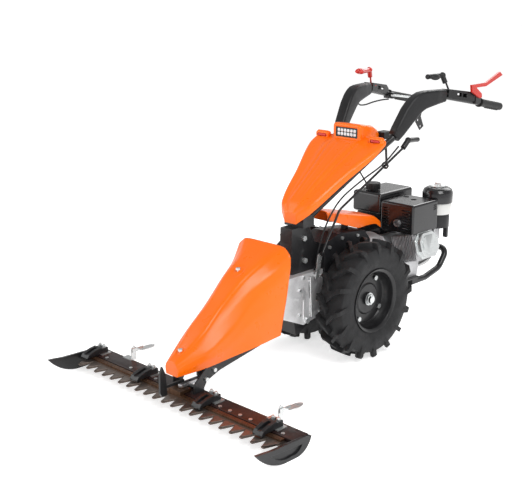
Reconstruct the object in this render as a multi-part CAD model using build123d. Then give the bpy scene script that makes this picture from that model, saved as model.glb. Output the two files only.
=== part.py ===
from build123d import *
import os
from math import cos, radians, sin, tan

# Walk-behind brush mower with a sickle bar. Millimetres. The model is drawn with the axle above the
# origin: +X is the machine's left, -Y is forward and +Z is up. save() then shifts every piece along Y,
# so that the finished part's origin is at the middle of its base.

# ---- overall sizes -------------------------------------------------------------------------------
BAR_REACH = 1080.0        # axle to the tips of the runner shoes
GRIP_REACH = 847.0        # axle to the ends of the grips
GRIP_HEIGHT = 986.0       # floor to the grip's middle at its rear end
AXLE_HEIGHT = 254.0       # floor to the axle, which is also the tyre's outer radius

# ---- wheels --------------------------------------------------------------------------------------
TYRE_MIDDLE = 167.5       # machine's middle to the tyre's middle
TYRE_WIDTH = 135.0
CARCASS_RADIUS = 232.0    # tread between the lugs
BEAD_RADIUS = 127.0
BEAD_HALF = 50.0
TYRE_WALL = 9.0
LUGS_PER_SIDE = 16
LUG_WIDTH = 19.0
RIM_LIP_RADIUS = 136.0
RIM_WALL = 4.0
DISC_OUTER_FACE = 182.0   # machine's middle to the outer face of the wheel disc
DISC_THICKNESS = 5.0
WHEEL_BOLTS = 4
WHEEL_BOLT_CIRCLE = 95.0  # radius
AXLE_RADIUS = 15.0
AXLE_END = 208.0          # machine's middle to the end of the axle
AXLE_INNER_END = 3.0      # machine's middle to the inner end of each half
HUB_RADIUS = 27.0
HUB_START = 97.0
HUB_END = 192.0
HUB_FLANGE_RADIUS = 104.0
WHEEL_BOLT_RADIUS = 6.0
LINCH_X = 200.0

# ---- cutter bar ----------------------------------------------------------------------------------
TOOTH_PITCH = 52.2
TEETH = 21
BAR_REAR = -816.0
BAR_FRONT = -893.0
BAR_TOP = 60.0
BAR_THICKNESS = 13.0
COMB_THICKNESS = 6.0
TOOTH_VALLEY = -930.0
TOOTH_TIP = -978.0
BLADE_THICKNESS = 3.0
BLADE_GAP = 0.3           # running gap under and behind the knife
KNIFE_STROKE = 52.0
KNIFE_BACK_WIDTH = 18.0
KNIFE_BACK_HEIGHT = 8.0
HEAD_HALF = 32.0          # half the knife head's length
KNIFE_PIN_RADIUS = 8.0
PIN_SLOT_GAP = 0.4
SHOE_THICKNESS = 12.0
CLAMP_BOLT_Y = -852.0
CLAMP_BOLT_RADIUS = 4.0
PADDLE_HEIGHT = 102.0
ARM_PLACES = (-535.0, -210.0, 150.0, 465.0)   # hold-down arms along the bar
ARM_WIDTH = 46.0

# ---- knife drive ---------------------------------------------------------------------------------
ROCKER_RADIUS = 110.0     # rocker's axis to the knife pin
ROCKER_Y = -770.0
ROCKER_SHAFT_RADIUS = 14.0
FORK_RELIEF = 15.0        # slope on the fork's front corner, clear of the hood at full swing
DRIVE_HEIGHT = 367.0      # crankshaft and drive shaft above the floor
RUNNING_FIT = 0.05        # radial clearance of a shaft in its bore

# ---- gearbox and transmission --------------------------------------------------------------------
GEARBOX_HALF = 62.0
CASE_HALF = 70.0
CASTING_WALL = 8.0
GEAR_MODULE = 3.5
PINION_TEETH = 12
WHEEL_TEETH = 30
GEAR_WIDTH = 24.0

# ---- covers --------------------------------------------------------------------------------------
COVER_WALL = 3.0

# ---- engine --------------------------------------------------------------------------------------
ENGINE_FACE = 250.0       # the engine's drive-side flange
ENGINE_BASE = 235.0
CYLINDER_TILT = 16.0      # degrees above level, towards the machine's left
CYLINDER_Y = 334.0

# ---- handlebar -----------------------------------------------------------------------------------
BAR_TUBE_RADIUS = 14.0
GRIP_RADIUS = 17.0
GRIP_X = 249.0
GRIP_START = 669.0
GRIP_SLOPE = 11.2         # degrees that the grips fall towards the rear

# ---- places that follow from the sizes -----------------------------------------------------------
AXLE_Y = (BAR_REACH - GRIP_REACH) / 2
BAR_HALF = TOOTH_PITCH * TEETH / 2 + 36
KNIFE_HALF = TOOTH_PITCH * TEETH / 2
COMB_TOP = BAR_TOP - BAR_THICKNESS
COMB_REAR = BAR_FRONT + 33
BLADE_BOTTOM = COMB_TOP + BLADE_GAP
BLADE_TOP = BLADE_BOTTOM + BLADE_THICKNESS
BACK_TOP = BLADE_TOP + KNIFE_BACK_HEIGHT
KNIFE_REAR = BAR_FRONT - 4
KNIFE_PIN_Y = ROCKER_Y - ROCKER_RADIUS
HEAD_BOTTOM = BAR_TOP + 1.5
HEAD_TOP = HEAD_BOTTOM + 12
CLAMP_NUT_SEAT = BAR_TOP + 25
PADDLE_PLACES = (-400.0, 425.0)
CARRIER_REAR = -405.0
CARRIER_HALF = 64.0
TUBE_RADIUS = 34.0
TUBE_FRONT = -583.0
SHAFT_RADIUS = 15.0
DRUM_BACK = 181.0
BUSH_LOW = 92.0
BUSH_HIGH = 182.0
FORK_RADIUS = 142.0
FORK_FACE = ROCKER_Y + FORK_RADIUS
FORK_THROW = FORK_RADIUS * sin(KNIFE_STROKE / 2 / ROCKER_RADIUS)
CASE_FRONT = -150.0
CASE_FLOOR = 298.0
CASE_REAR = 150.0
GEARBOX_TOP = 392.0
COLUMN_TOP = 583.0
LAYSHAFT_Z = DRIVE_HEIGHT + GEAR_MODULE * (PINION_TEETH + WHEEL_TEETH) / 2
COLUMN_HALF = 32.0
SELECTOR_Y = -205.0
SELECTOR_Z = 376.0
LOCK_ROD_X = 70.0
CRANK_RADIUS = 12.5
CRANK_STROKE = 64.0
CRANK_PIN_RADIUS = 16.0
PISTON_PIN_RADIUS = 9.0
ROD_LENGTH = 96.0
BORE_RADIUS = 44.0
CYLINDER_START = 112.0
HEAD_START = 186.0
COVER_START = 238.0
SHROUD_FACE = 455.0
FLYWHEEL_FACE = 470.0
CAP_X = -48.0
CAP_Y = 312.0
AIR_X = 172.0
AIR_Y = 496.0
LAMP_HALF = 54.0
LAMP_LOW = 914.0
LAMP_HIGH = 946.0
HOOD_BOLT_PLACES = ((-880.0, 219.0), (-577.0, 468.0))
HOOD_STATIONS = {         # y: the left side's (x, z) from the low edge to the edge of the top panel
    -926: [(30, 135), (34, 150), (34, 166), (28, 180), (16, 186)],
    -882: [(44, 139), (52, 165), (52, 188), (42, 206), (22, 217)],
    -800: [(66, 148), (86, 190), (88, 224), (62, 258), (38, 284)],
    -700: [(92, 168), (104, 230), (96, 282), (64, 338), (36, 366)],
    -600: [(123, 190), (118, 290), (102, 362), (84, 408), (50, 450)],
    -500: [(127, 200), (134, 330), (127, 420), (114, 466), (66, 508)],
    -420: [(132, 209), (150, 380), (157, 490), (150, 532), (110, 560)],
}
BUMPER_Z = 219.0
BUMPER_RADIUS = 14.0
KNEE_HALF = 25.0
KNEE_MIDDLE_Y = 315.0
KNEE_FLARE = 12.5         # degrees that the handle tubes spread towards the rear
LEVER_PIN_RADIUS = 3.0
CLUTCH_X = 266.0
CLUTCH_Y = 643.0
CLUTCH_Z = 1052.0
HAND_X = -212.0
HAND_Y = 652.0
CABLE_RADIUS = 3.5
GRIP_LENGTH = 178.0
GRIP_TOP_Z = 1021.3


# ---- small builders ------------------------------------------------------------------------------
def save(node, *solids):
    """Write one node, moved to the part's own origin."""
    moved = [Pos(0, AXLE_Y, 0) * solid for item in solids for solid in item.solids()]
    shape = moved[0] if len(moved) == 1 else Compound(children=moved)
    export_step(shape, f"parts/{node}.step")


def block(x0, x1, y0, y1, z0, z1):
    """Box between two corners."""
    return Pos((x0 + x1) / 2, (y0 + y1) / 2, (z0 + z1) / 2) * Box(x1 - x0, y1 - y0, z1 - z0)


def rod(start, end, radius, bore=0.0):
    """Round bar, or tube, between two points."""
    direction = Vector(*end) - Vector(*start)
    profile = Circle(radius)
    if bore:
        profile -= Circle(bore)
    return extrude(Plane(origin=start, z_dir=direction) * profile, direction.length)


def slab_x(points, x0, x1):
    """Plate with a (y, z) outline between two x."""
    face = Plane.YZ.offset(x0) * make_face(Polyline(*points, close=True))
    return extrude(face, x1 - x0, dir=(1, 0, 0))


def slab_y(points, y0, y1):
    """Plate with an (x, z) outline between two y."""
    face = Plane.XZ.offset(-y0) * make_face(Polyline(*points, close=True))
    return extrude(face, y1 - y0, dir=(0, 1, 0))


def slab_z(points, z0, z1):
    """Plate with an (x, y) outline between two z."""
    face = Plane.XY.offset(z0) * make_face(Polyline(*points, close=True))
    return extrude(face, z1 - z0, dir=(0, 0, 1))


def bent_tube(points, radius, bends, bore=0.0):
    """Tube along straight runs joined by tangent arcs."""
    path = FilletPolyline(*points, radius=bends)
    profile = Circle(radius)
    if bore:
        profile -= Circle(bore)
    return sweep(Plane(origin=points[0], z_dir=path % 0) * profile, path=path)


def hex_bolt(base, direction, across, head, shank_radius=0.0, shank=0.0):
    """Hexagon head that stands on base, with an optional shank the other way."""
    plane = Plane(origin=base, z_dir=direction)
    bolt = extrude(plane * RegularPolygon(across / 2, 6, major_radius=False), head)
    if shank:
        bolt += extrude(plane * Circle(shank_radius), -shank)
    return bolt


def both_sides(shape):
    """The shape and its mirror image across the machine's middle."""
    return shape, mirror(shape, about=Plane.YZ)


def ring_places(count, first=0.0):
    """Evenly spaced angles in degrees."""
    return [first + 360 / count * index for index in range(count)]


def shell_x(points, half, wall):
    """Hollow casting with a (y, z) outline, closed all round."""
    outline = make_face(Polyline(*points, close=True))
    inner = offset(outline, -wall)
    outside = extrude(Plane.YZ.offset(-half) * outline, 2 * half, dir=(1, 0, 0))
    inside = extrude(Plane.YZ.offset(-half + wall) * inner, 2 * (half - wall), dir=(1, 0, 0))
    return outside - inside


def spur_gear(teeth, width, centre, start_y, bore, phase):
    """Straight gear about an axis along Y, with thin trapezium teeth."""
    pitch_radius = GEAR_MODULE * teeth / 2
    root = pitch_radius - 1.15 * GEAR_MODULE
    tip = pitch_radius + 0.85 * GEAR_MODULE
    flank = 0.36 * GEAR_MODULE * 3.1416
    profile = Circle(root) - Circle(bore)
    tooth = make_face(Polyline((root - 1, -flank * 0.75), (root - 1, flank * 0.75),
                               (tip, flank * 0.3), (tip, -flank * 0.3), close=True))
    for angle in ring_places(teeth, phase):
        profile += Rot(0, 0, angle) * tooth
    plane = Plane(origin=(centre[0], start_y, centre[1]), x_dir=(1, 0, 0), z_dir=(0, 1, 0))
    return extrude(plane * profile, width)


# ---- wheels --------------------------------------------------------------------------------------
def tyre_outline(half, bead, crown):
    """Sidewall, tread and sidewall arcs of a tyre section, (x, radius)."""
    shoulder = (half - 7, crown - 10)
    middle = (half, (BEAD_RADIUS + crown) / 2)
    left = ThreePointArc((-bead, BEAD_RADIUS), (-middle[0], middle[1]), (-shoulder[0], shoulder[1]))
    top = ThreePointArc((-shoulder[0], shoulder[1]), (0, crown), shoulder)
    right = ThreePointArc(shoulder, middle, (bead, BEAD_RADIUS))
    return left, top, right


def carcass():
    """Tyre body about the X axis, open towards the rim."""
    half = TYRE_WIDTH / 2
    outer = tyre_outline(half, BEAD_HALF, CARCASS_RADIUS)
    inner = tyre_outline(half - TYRE_WALL, BEAD_HALF - TYRE_WALL, CARCASS_RADIUS - TYRE_WALL)
    sides = [Line(outer[0] @ 0, inner[0] @ 0), Line(outer[2] @ 1, inner[2] @ 1)]
    face = make_face([*outer, *inner, *sides])
    return revolve(face, Axis.X)


def lug_envelope():
    """Ring that the lugs fill: it starts inside the tread and ends at the tyre's full radius."""
    half = TYRE_WIDTH / 2
    points = [(-half, 186), (-half, 240), (-half + 10, AXLE_HEIGHT - 3), (0, AXLE_HEIGHT),
              (half - 10, AXLE_HEIGHT - 3), (half, 240), (half, 186), (half - 16, 186),
              (half - 14, CARCASS_RADIUS - 14), (0, CARCASS_RADIUS - 4),
              (-half + 14, CARCASS_RADIUS - 14), (-half + 16, 186)]
    return revolve(make_face(Polyline(*points, close=True)), Axis.X)


def lug(side, angle):
    """One slanted lug from the tyre's middle to its shoulder, and a little way down the sidewall."""
    half = TYRE_WIDTH / 2
    lead = 44.0
    outline = make_face(Polyline((0, -LUG_WIDTH / 2), (side * half * 0.62, lead - LUG_WIDTH / 2),
                                 (side * half, lead - LUG_WIDTH / 2 + 6),
                                 (side * half, lead + LUG_WIDTH / 2 + 6),
                                 (side * half * 0.62, lead + LUG_WIDTH / 2),
                                 (0, LUG_WIDTH / 2), close=True))
    plane = Plane(origin=(0, 0, 186), x_dir=(1, 0, 0), z_dir=(0, 0, 1))
    return Rot(angle, 0, 0) * extrude(plane * outline, AXLE_HEIGHT - 186)


def tyre():
    """Tyre with two rows of lugs that point forward at the top of the tread."""
    step = 360 / LUGS_PER_SIDE
    bars = [lug(side, step * (index + 0.5 * (side > 0))) for side in (-1, 1)
            for index in range(LUGS_PER_SIDE)]
    raised = lug_envelope() & Compound(children=bars)
    return carcass() + raised


def rim():
    """Pressed rim: lips, barrel and a dished disc with its bolt holes."""
    lip = BEAD_HALF + 7.6
    seat = BEAD_HALF + 0.6
    outside = [(-lip, RIM_LIP_RADIUS), (-seat, BEAD_RADIUS), (-30, BEAD_RADIUS - 3), (-22, 112), (4, 112),
               (30, BEAD_RADIUS - 3), (seat, BEAD_RADIUS), (lip, RIM_LIP_RADIUS)]
    inside = [(lip + RIM_WALL, RIM_LIP_RADIUS), (seat + 3.4, BEAD_RADIUS - RIM_WALL),
              (31, BEAD_RADIUS - 3 - RIM_WALL), (6, 112 - RIM_WALL), (-24, 112 - RIM_WALL),
              (-32, BEAD_RADIUS - 3 - RIM_WALL), (-seat - 3.4, BEAD_RADIUS - RIM_WALL),
              (-lip - RIM_WALL, RIM_LIP_RADIUS)]
    body = revolve(make_face(Polyline(*outside, *inside, close=True)), Axis.X)
    face = DISC_OUTER_FACE - TYRE_MIDDLE
    seat = face - 5
    back = seat - DISC_THICKNESS
    dish = [(face - DISC_THICKNESS, HUB_RADIUS), (face, HUB_RADIUS), (face, 62), (seat, 68), (seat, 105),
            (seat - 4, 111), (back - 4, 111), (back, 104), (back, 66), (face - DISC_THICKNESS, 60)]
    disc = revolve(make_face(Polyline(*dish, close=True)), Axis.X)
    return body + disc


def hub():
    """Hub with its bolt flange behind the wheel disc."""
    flange = rod((DISC_OUTER_FACE - 16, 0, 0), (DISC_OUTER_FACE - 10, 0, 0), HUB_FLANGE_RADIUS)
    body = flange + rod((HUB_START, 0, 0), (HUB_END, 0, 0), HUB_RADIUS)
    for y, z in wheel_bolt_places():
        body -= rod((HUB_START, y, z), (HUB_END, y, z), WHEEL_BOLT_RADIUS)
    return body - rod((HUB_START, 0, 0), (HUB_END, 0, 0), AXLE_RADIUS)


def wheel_bolt_places():
    """(y, z) of each wheel bolt from the axle."""
    return [(WHEEL_BOLT_CIRCLE * cos(radians(angle)), WHEEL_BOLT_CIRCLE * sin(radians(angle)))
            for angle in ring_places(WHEEL_BOLTS, 56.6)]


def wheel_bolts():
    """Bolts with their nuts."""
    bolts = []
    for y, z in wheel_bolt_places():
        bolt = hex_bolt((DISC_OUTER_FACE - 5, y, z), (1, 0, 0), 19, 8, WHEEL_BOLT_RADIUS, 20)
        bolts.append(bolt + hex_bolt((DISC_OUTER_FACE - 16, y, z), (-1, 0, 0), 19, 8))
    return bolts


def half_shaft():
    """Axle half with the cross hole for its pin."""
    shaft = rod((AXLE_INNER_END, 0, 0), (AXLE_END, 0, 0), AXLE_RADIUS)
    return shaft - linch_pin_shank()


def linch_pin_shank():
    """Pin through the axle's end."""
    return rod((LINCH_X, 0, -23), (LINCH_X, 0, 23), 4)


def linch_pin():
    """Linch pin with its wire ring round the axle's end."""
    ring = Pos(LINCH_X, 0, 0) * Rot(0, 90, 0) * Torus(20, 1.8)
    return linch_pin_shank() + ring


def save_wheels():
    """Both wheels, each on its own half of the axle."""
    disc_holes = [rod((100, y, z), (230, y, z), WHEEL_BOLT_RADIUS) for y, z in wheel_bolt_places()]
    pieces = {
        "tyre": [Pos(TYRE_MIDDLE, 0, 0) * tyre()],
        "rim": [Pos(TYRE_MIDDLE, 0, 0) * rim() - disc_holes],
        "hub": [hub(), half_shaft(), *wheel_bolts(), linch_pin()],
    }
    for name, solids in pieces.items():
        raised = [Pos(0, 0, AXLE_HEIGHT) * solid for solid in solids]
        save(f"{name}_left", *raised)
        save(f"{name}_right", *[mirror(solid, about=Plane.YZ) for solid in raised])


# ---- cutter bar ----------------------------------------------------------------------------------
def tooth_places():
    """x of each tooth."""
    return [TOOTH_PITCH * (index - (TEETH - 1) / 2) for index in range(TEETH)]


def comb():
    """Fixed lower plate with one pointed tooth per blade."""
    outline = [(BAR_HALF, COMB_REAR), (-BAR_HALF, COMB_REAR), (-BAR_HALF, TOOTH_VALLEY)]
    for x in tooth_places():
        outline += [(x - 21, TOOTH_VALLEY), (x - 6, TOOTH_TIP), (x + 6, TOOTH_TIP), (x + 21, TOOTH_VALLEY)]
    outline.append((BAR_HALF, TOOTH_VALLEY))
    return slab_z(outline, COMB_TOP - COMB_THICKNESS, COMB_TOP)


def blade(x):
    """One knife section."""
    half = TOOTH_PITCH / 2 - 0.2
    outline = [(x - half, KNIFE_REAR), (x - half, TOOTH_VALLEY + 5), (x - 5, TOOTH_TIP + 6),
               (x + 5, TOOTH_TIP + 6), (x + half, TOOTH_VALLEY + 5), (x + half, KNIFE_REAR)]
    return slab_z(outline, BLADE_BOTTOM, BLADE_TOP)


def knife_back():
    """Strip that the sections are riveted to, with two low rivet heads per section and the head."""
    strip = block(-KNIFE_HALF, KNIFE_HALF, KNIFE_REAR - KNIFE_BACK_WIDTH, KNIFE_REAR, BLADE_TOP, BACK_TOP)
    places = [x + shift for x in tooth_places() for shift in (-13, 13)]
    middle = KNIFE_REAR - KNIFE_BACK_WIDTH / 2
    rivets = [rod((x, middle, BACK_TOP - 1), (x, middle, BACK_TOP + 1.2), 3.5)
              for x in places if abs(x) > HEAD_HALF + 4]
    return strip + rivets + knife_head()


def knife_head():
    """Block on the knife's middle with the slot for the rocker's pin."""
    low = block(-HEAD_HALF, HEAD_HALF, KNIFE_REAR - KNIFE_BACK_WIDTH, KNIFE_REAR, BACK_TOP, HEAD_BOTTOM)
    high = block(-HEAD_HALF, HEAD_HALF, KNIFE_REAR - KNIFE_BACK_WIDTH, KNIFE_PIN_Y + 20, HEAD_BOTTOM, HEAD_TOP)
    half = KNIFE_PIN_RADIUS + PIN_SLOT_GAP
    slot = block(-half, half, KNIFE_PIN_Y - KNIFE_PIN_RADIUS - 1, KNIFE_PIN_Y + KNIFE_PIN_RADIUS + 5,
                 BACK_TOP, HEAD_TOP)
    return low + high - slot


def bar_bolt_places():
    """(x, y) of the screws that hold the comb under the beam."""
    clear = [x for x in tooth_places()
             if abs(x) > CARRIER_HALF + 8 and all(abs(x - arm) > 48 for arm in (*ARM_PLACES, *PADDLE_PLACES))]
    return [(x, (BAR_REAR + BAR_FRONT) / 2 - 22) for x in clear]


def shoe():
    """Left runner shoe: a curved sole with an upright flange on the bar's end."""
    toe = -BAR_REACH
    sole = make_face([
        Polyline((BAR_REAR + 4, BAR_TOP - 4), (BAR_REAR - 26, BAR_TOP + 2), (-1010, 68), (toe, 76)),
        ThreePointArc((toe, 76), (-1018, 22), (-940, 0)),
        Line((-940, 0), (-890, 0)),
        ThreePointArc((-890, 0), (-840, 16), (BAR_REAR + 4, BAR_TOP - 4)),
    ])
    plate = extrude(Plane.YZ.offset(BAR_HALF) * sole, SHOE_THICKNESS, dir=(1, 0, 0))
    relief = make_face([
        Polyline((-860, 40), (-930, 44), (-1010, 50)),
        ThreePointArc((-1010, 50), (-970, 22), (-910, 16)),
        ThreePointArc((-910, 16), (-876, 22), (-860, 40)),
    ])
    hollow = extrude(Plane.YZ.offset(BAR_HALF + 5) * relief, SHOE_THICKNESS, dir=(1, 0, 0))
    return plate - hollow


def hold_down_arm(x):
    """Sprung arm that keeps the knife down: a clamp foot, a bridge and a nose over the knife."""
    half = ARM_WIDTH / 2
    side = [(BAR_REAR - 22, BAR_TOP + 4), (BAR_REAR - 22, CLAMP_NUT_SEAT), (-866, CLAMP_NUT_SEAT),
            (-872, BAR_TOP + 30), (-900, BAR_TOP + 26), (-934, BAR_TOP + 14), (-944, BAR_TOP + 2), (-944, BAR_TOP - 4),
            (-930, BAR_TOP - 4), (-928, BACK_TOP + 4), (-880, BACK_TOP + 4), (-880, BAR_TOP + 4)]
    arm = slab_x(side, x - half, x + half)
    arm -= slab_x([(-880, BAR_TOP + 12), (-880, BAR_TOP + 40), (-950, BAR_TOP + 40), (-950, BAR_TOP + 12)],
                  x - 8, x + 8)
    for shift in (-13, 13):
        arm -= rod((x + shift, CLAMP_BOLT_Y, BAR_TOP), (x + shift, CLAMP_BOLT_Y, BAR_TOP + 60), CLAMP_BOLT_RADIUS)
    return arm


def hold_down_plate(x):
    """Zinc plate under the arm's foot."""
    plate = block(x - 34, x + 34, -878, BAR_REAR - 14, BAR_TOP, BAR_TOP + 4)
    for shift in (-13, 13):
        plate -= rod((x + shift, CLAMP_BOLT_Y, BAR_TOP), (x + shift, CLAMP_BOLT_Y, BAR_TOP + 60), CLAMP_BOLT_RADIUS)
    return plate


def hold_down_bolts(x):
    """Two bolts with cap nuts through the arm's foot."""
    bolts = []
    for shift in (-13, 13):
        bolt = rod((x + shift, CLAMP_BOLT_Y, BAR_TOP), (x + shift, CLAMP_BOLT_Y, BAR_TOP + 25), CLAMP_BOLT_RADIUS)
        bolt += hex_bolt((x + shift, CLAMP_BOLT_Y, CLAMP_NUT_SEAT), (0, 0, 1), 15, 8)
        bolts.append(bolt + rod((x + shift, CLAMP_BOLT_Y, CLAMP_NUT_SEAT + 8),
                                (x + shift, CLAMP_BOLT_Y, CLAMP_NUT_SEAT + 13), 5))
    return bolts


def paddle_bracket(x):
    """Folded zinc bracket behind a hold-down arm, with its upright ear."""
    foot = block(x - 28, x + 28, BAR_REAR - 12, BAR_REAR + 16, BAR_TOP, BAR_TOP + 3)
    ear = slab_x([(BAR_REAR + 16, BAR_TOP), (BAR_REAR + 16, BAR_TOP + 52), (BAR_REAR + 2, BAR_TOP + 64),
                  (BAR_REAR - 8, BAR_TOP + 52), (BAR_REAR - 12, BAR_TOP)], x + 25, x + 28)
    return foot + ear - rod((x + 20, BAR_REAR + 2, PADDLE_HEIGHT), (x + 34, BAR_REAR + 2, PADDLE_HEIGHT), 4)


def paddle(x):
    """Oval hand paddle with its stalk, pinned to the bracket's ear."""
    pivot = (x + 28.5, BAR_REAR + 2)
    stalk = block(pivot[0], pivot[0] + 3, pivot[1] - 8, pivot[1] + 48, PADDLE_HEIGHT - 8, PADDLE_HEIGHT + 8)
    blade_face = Plane.XY.offset(PADDLE_HEIGHT - 2) * Pos(pivot[0] + 12, pivot[1] + 62) * Ellipse(17, 36)
    pin = rod((pivot[0] - 10, pivot[1], PADDLE_HEIGHT), (pivot[0] + 3, pivot[1], PADDLE_HEIGHT), 4 - RUNNING_FIT)
    return stalk + extrude(blade_face, 4) + pin


def divider():
    """Upright fin at the knife's middle that parts the crop."""
    outline = [(-952, BAR_TOP + 6), (-958, BAR_TOP + 92), (-972, BAR_TOP + 124), (-984, BAR_TOP + 92),
               (-986, BAR_TOP + 20), (-978, BAR_TOP + 6)]
    return slab_x(outline, -5, 5) + block(-5, 5, -978, -868, BAR_TOP + 34, BAR_TOP + 44)


def save_cutter_bar():
    """Everything on the bar, fixed and moving."""
    save("cutter_beam", block(-BAR_HALF, BAR_HALF, BAR_FRONT, BAR_REAR, COMB_TOP, BAR_TOP)
         - [rod((x, y, 0), (x, y, 90), 4) for x, y in bar_bolt_places()])
    save("lower_comb", comb() - [rod((x, y, 0), (x, y, 90), 4) for x, y in bar_bolt_places()])
    save("knife_blades", *[blade(x) for x in tooth_places()])
    save("knife_back", knife_back())
    save("runner_shoes", *both_sides(shoe()))
    save("hold_down_arms", *[hold_down_arm(x) for x in ARM_PLACES])
    for side, x in zip(("right", "left"), PADDLE_PLACES):
        save(f"paddle_{side}", paddle(x))
    save("crop_divider", divider())
    fittings = [rod((x, y, COMB_TOP - COMB_THICKNESS), (x, y, BAR_TOP), 4)
                + rod((x, y, BAR_TOP), (x, y, BAR_TOP + 2.5), 7) for x, y in bar_bolt_places()]
    for x in ARM_PLACES:
        fittings += [hold_down_plate(x), *hold_down_bolts(x)]
    save("bar_fittings", *fittings, *[paddle_bracket(x) for x in PADDLE_PLACES])


# ---- carrier and knife drive ---------------------------------------------------------------------
def carrier():
    """Welded frame between the gearbox and the bar: side plates, bush, foot and rear flange."""
    side = [(CARRIER_REAR, 243), (CARRIER_REAR - 30, 173), (-588, 146), (-742, 119), (-806, 96), (BAR_REAR - 6, BAR_TOP + 12),
            (BAR_REAR - 6, BAR_TOP), (-874, BAR_TOP), (-868, 100), (-820, 140), (-780, 190), (-700, 290), (-604, 398),
            (-560, 402), (CARRIER_REAR, 402)]
    frame = slab_x(side, CARRIER_HALF - 6, CARRIER_HALF) + slab_x(side, -CARRIER_HALF, 6 - CARRIER_HALF)
    frame += block(-CARRIER_HALF, CARRIER_HALF, CARRIER_REAR - 8, CARRIER_REAR, 236, 402)
    frame += block(-CARRIER_HALF, CARRIER_HALF, -842, BAR_REAR - 6, BAR_TOP, BAR_TOP + 8)
    frame += block(-CARRIER_HALF, CARRIER_HALF, -812, -640, 150, 158)
    frame += rod((0, ROCKER_Y, BUSH_LOW), (0, ROCKER_Y, BUSH_HIGH), 26)
    frame -= rod((0, ROCKER_Y, 60), (0, ROCKER_Y, 250), ROCKER_SHAFT_RADIUS + RUNNING_FIT)
    frame -= rod((0, CARRIER_REAR - 20, DRIVE_HEIGHT), (0, CARRIER_REAR, DRIVE_HEIGHT), TUBE_RADIUS)
    return frame + drive_tube()


def drive_tube():
    """Tube that carries the drive shaft from the gearbox to the crank disc, closed by bearings' seats."""
    body = rod((0, CARRIER_REAR, DRIVE_HEIGHT), (0, TUBE_FRONT, DRIVE_HEIGHT), TUBE_RADIUS)
    body -= rod((0, CARRIER_REAR, DRIVE_HEIGHT), (0, TUBE_FRONT + 14, DRIVE_HEIGHT), 26)
    return body - rod((0, CARRIER_REAR, DRIVE_HEIGHT), (0, TUBE_FRONT, DRIVE_HEIGHT), SHAFT_RADIUS + RUNNING_FIT)


def drive_shaft():
    """Shaft from the clutch drum to the knife crank, with the crank disc and its pin."""
    shaft = rod((0, DRUM_BACK, DRIVE_HEIGHT), (0, TUBE_FRONT - 6, DRIVE_HEIGHT), SHAFT_RADIUS)
    disc = rod((0, TUBE_FRONT - 6, DRIVE_HEIGHT), (0, TUBE_FRONT - 20, DRIVE_HEIGHT), FORK_THROW + 14)
    pin_z = DRIVE_HEIGHT + FORK_THROW
    pin = rod((0, TUBE_FRONT - 20, pin_z), (0, FORK_FACE + 2, pin_z), 8)
    pinion = spur_gear(PINION_TEETH, GEAR_WIDTH, (0, DRIVE_HEIGHT), -60, SHAFT_RADIUS - 1, 0)
    return shaft + disc + pin + pinion


def rocker():
    """Upright rocker: forked arm above, swinging arm and knife pin below."""
    y = ROCKER_Y
    body = rod((0, y, HEAD_TOP + 2), (0, y, BUSH_HIGH + 16), ROCKER_SHAFT_RADIUS)
    body += rod((0, y, HEAD_TOP + 2), (0, y, BUSH_LOW - 1), 22)
    body += block(-11, 11, KNIFE_PIN_Y, y, HEAD_TOP + 2, BUSH_LOW - 3)
    body += rod((0, KNIFE_PIN_Y, HEAD_TOP + 2), (0, KNIFE_PIN_Y, BUSH_LOW - 3), 13)
    body += rod((0, KNIFE_PIN_Y, HEAD_BOTTOM), (0, KNIFE_PIN_Y, HEAD_TOP + 4), KNIFE_PIN_RADIUS)
    body += rod((0, y, BUSH_HIGH + 1), (0, y, BUSH_HIGH + 16), 22)
    body += block(-12, 12, y, FORK_FACE, BUSH_HIGH + 3, BUSH_HIGH + 15)
    fork_top = DRIVE_HEIGHT + FORK_THROW + 4
    fork_front = FORK_FACE - 14
    body += block(-16, 16, fork_front, FORK_FACE, BUSH_HIGH + 3, fork_top)
    body -= block(-8.5, 8.5, FORK_FACE - 20, FORK_FACE + 5, DRIVE_HEIGHT - FORK_THROW - 12, 500)
    relief = [(fork_front - 1, fork_top - FORK_RELIEF), (FORK_FACE - 2, fork_top + 1), (fork_front - 1, fork_top + 1)]
    return body - slab_x(relief, -17, 17)


def save_carrier():
    """Carrier, shaft and rocker."""
    save("cutter_carrier", carrier())
    save("drive_shaft", drive_shaft())
    save("knife_rocker", rocker())


# ---- gearbox, transmission and clutch ------------------------------------------------------------
def gearbox():
    """Aluminium lower casting with bosses for the axle halves."""
    outline = [(CARRIER_REAR, 243), (CARRIER_REAR + 20, 227), (-267, 176), (-186, 190), (70, 178), (88, 200),
               (88, CASE_FLOOR), (CASE_FRONT, CASE_FLOOR), (CASE_FRONT, GEARBOX_TOP), (CARRIER_REAR, GEARBOX_TOP)]
    body = shell_x(outline, GEARBOX_HALF, CASTING_WALL)
    for side in (-1, 1):
        body += rod((side * (GEARBOX_HALF - CASTING_WALL), 0, AXLE_HEIGHT), (side * (HUB_START - 1), 0, AXLE_HEIGHT), 34)
    for y in (-270, -232, -120, -70):
        body += block(-GEARBOX_HALF - 3, GEARBOX_HALF + 3, y, y + 5, 205, 285)
    body -= rod((-130, 0, AXLE_HEIGHT), (130, 0, AXLE_HEIGHT), AXLE_RADIUS + RUNNING_FIT)
    hollow = block(10 - GEARBOX_HALF, GEARBOX_HALF - 10, -275, -238, 215, 290)
    body -= hollow + block(10 - GEARBOX_HALF, GEARBOX_HALF - 10, -130, -60, 215, 286)
    body -= rod((40, SELECTOR_Y, SELECTOR_Z), (80, SELECTOR_Y, SELECTOR_Z), 6 + RUNNING_FIT)
    return body - shaft_hole(0)


def shaft_hole(extra):
    """Passage for the drive shaft through every wall on its way."""
    return rod((0, -700, DRIVE_HEIGHT), (0, 180, DRIVE_HEIGHT), SHAFT_RADIUS + RUNNING_FIT + extra)


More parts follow.
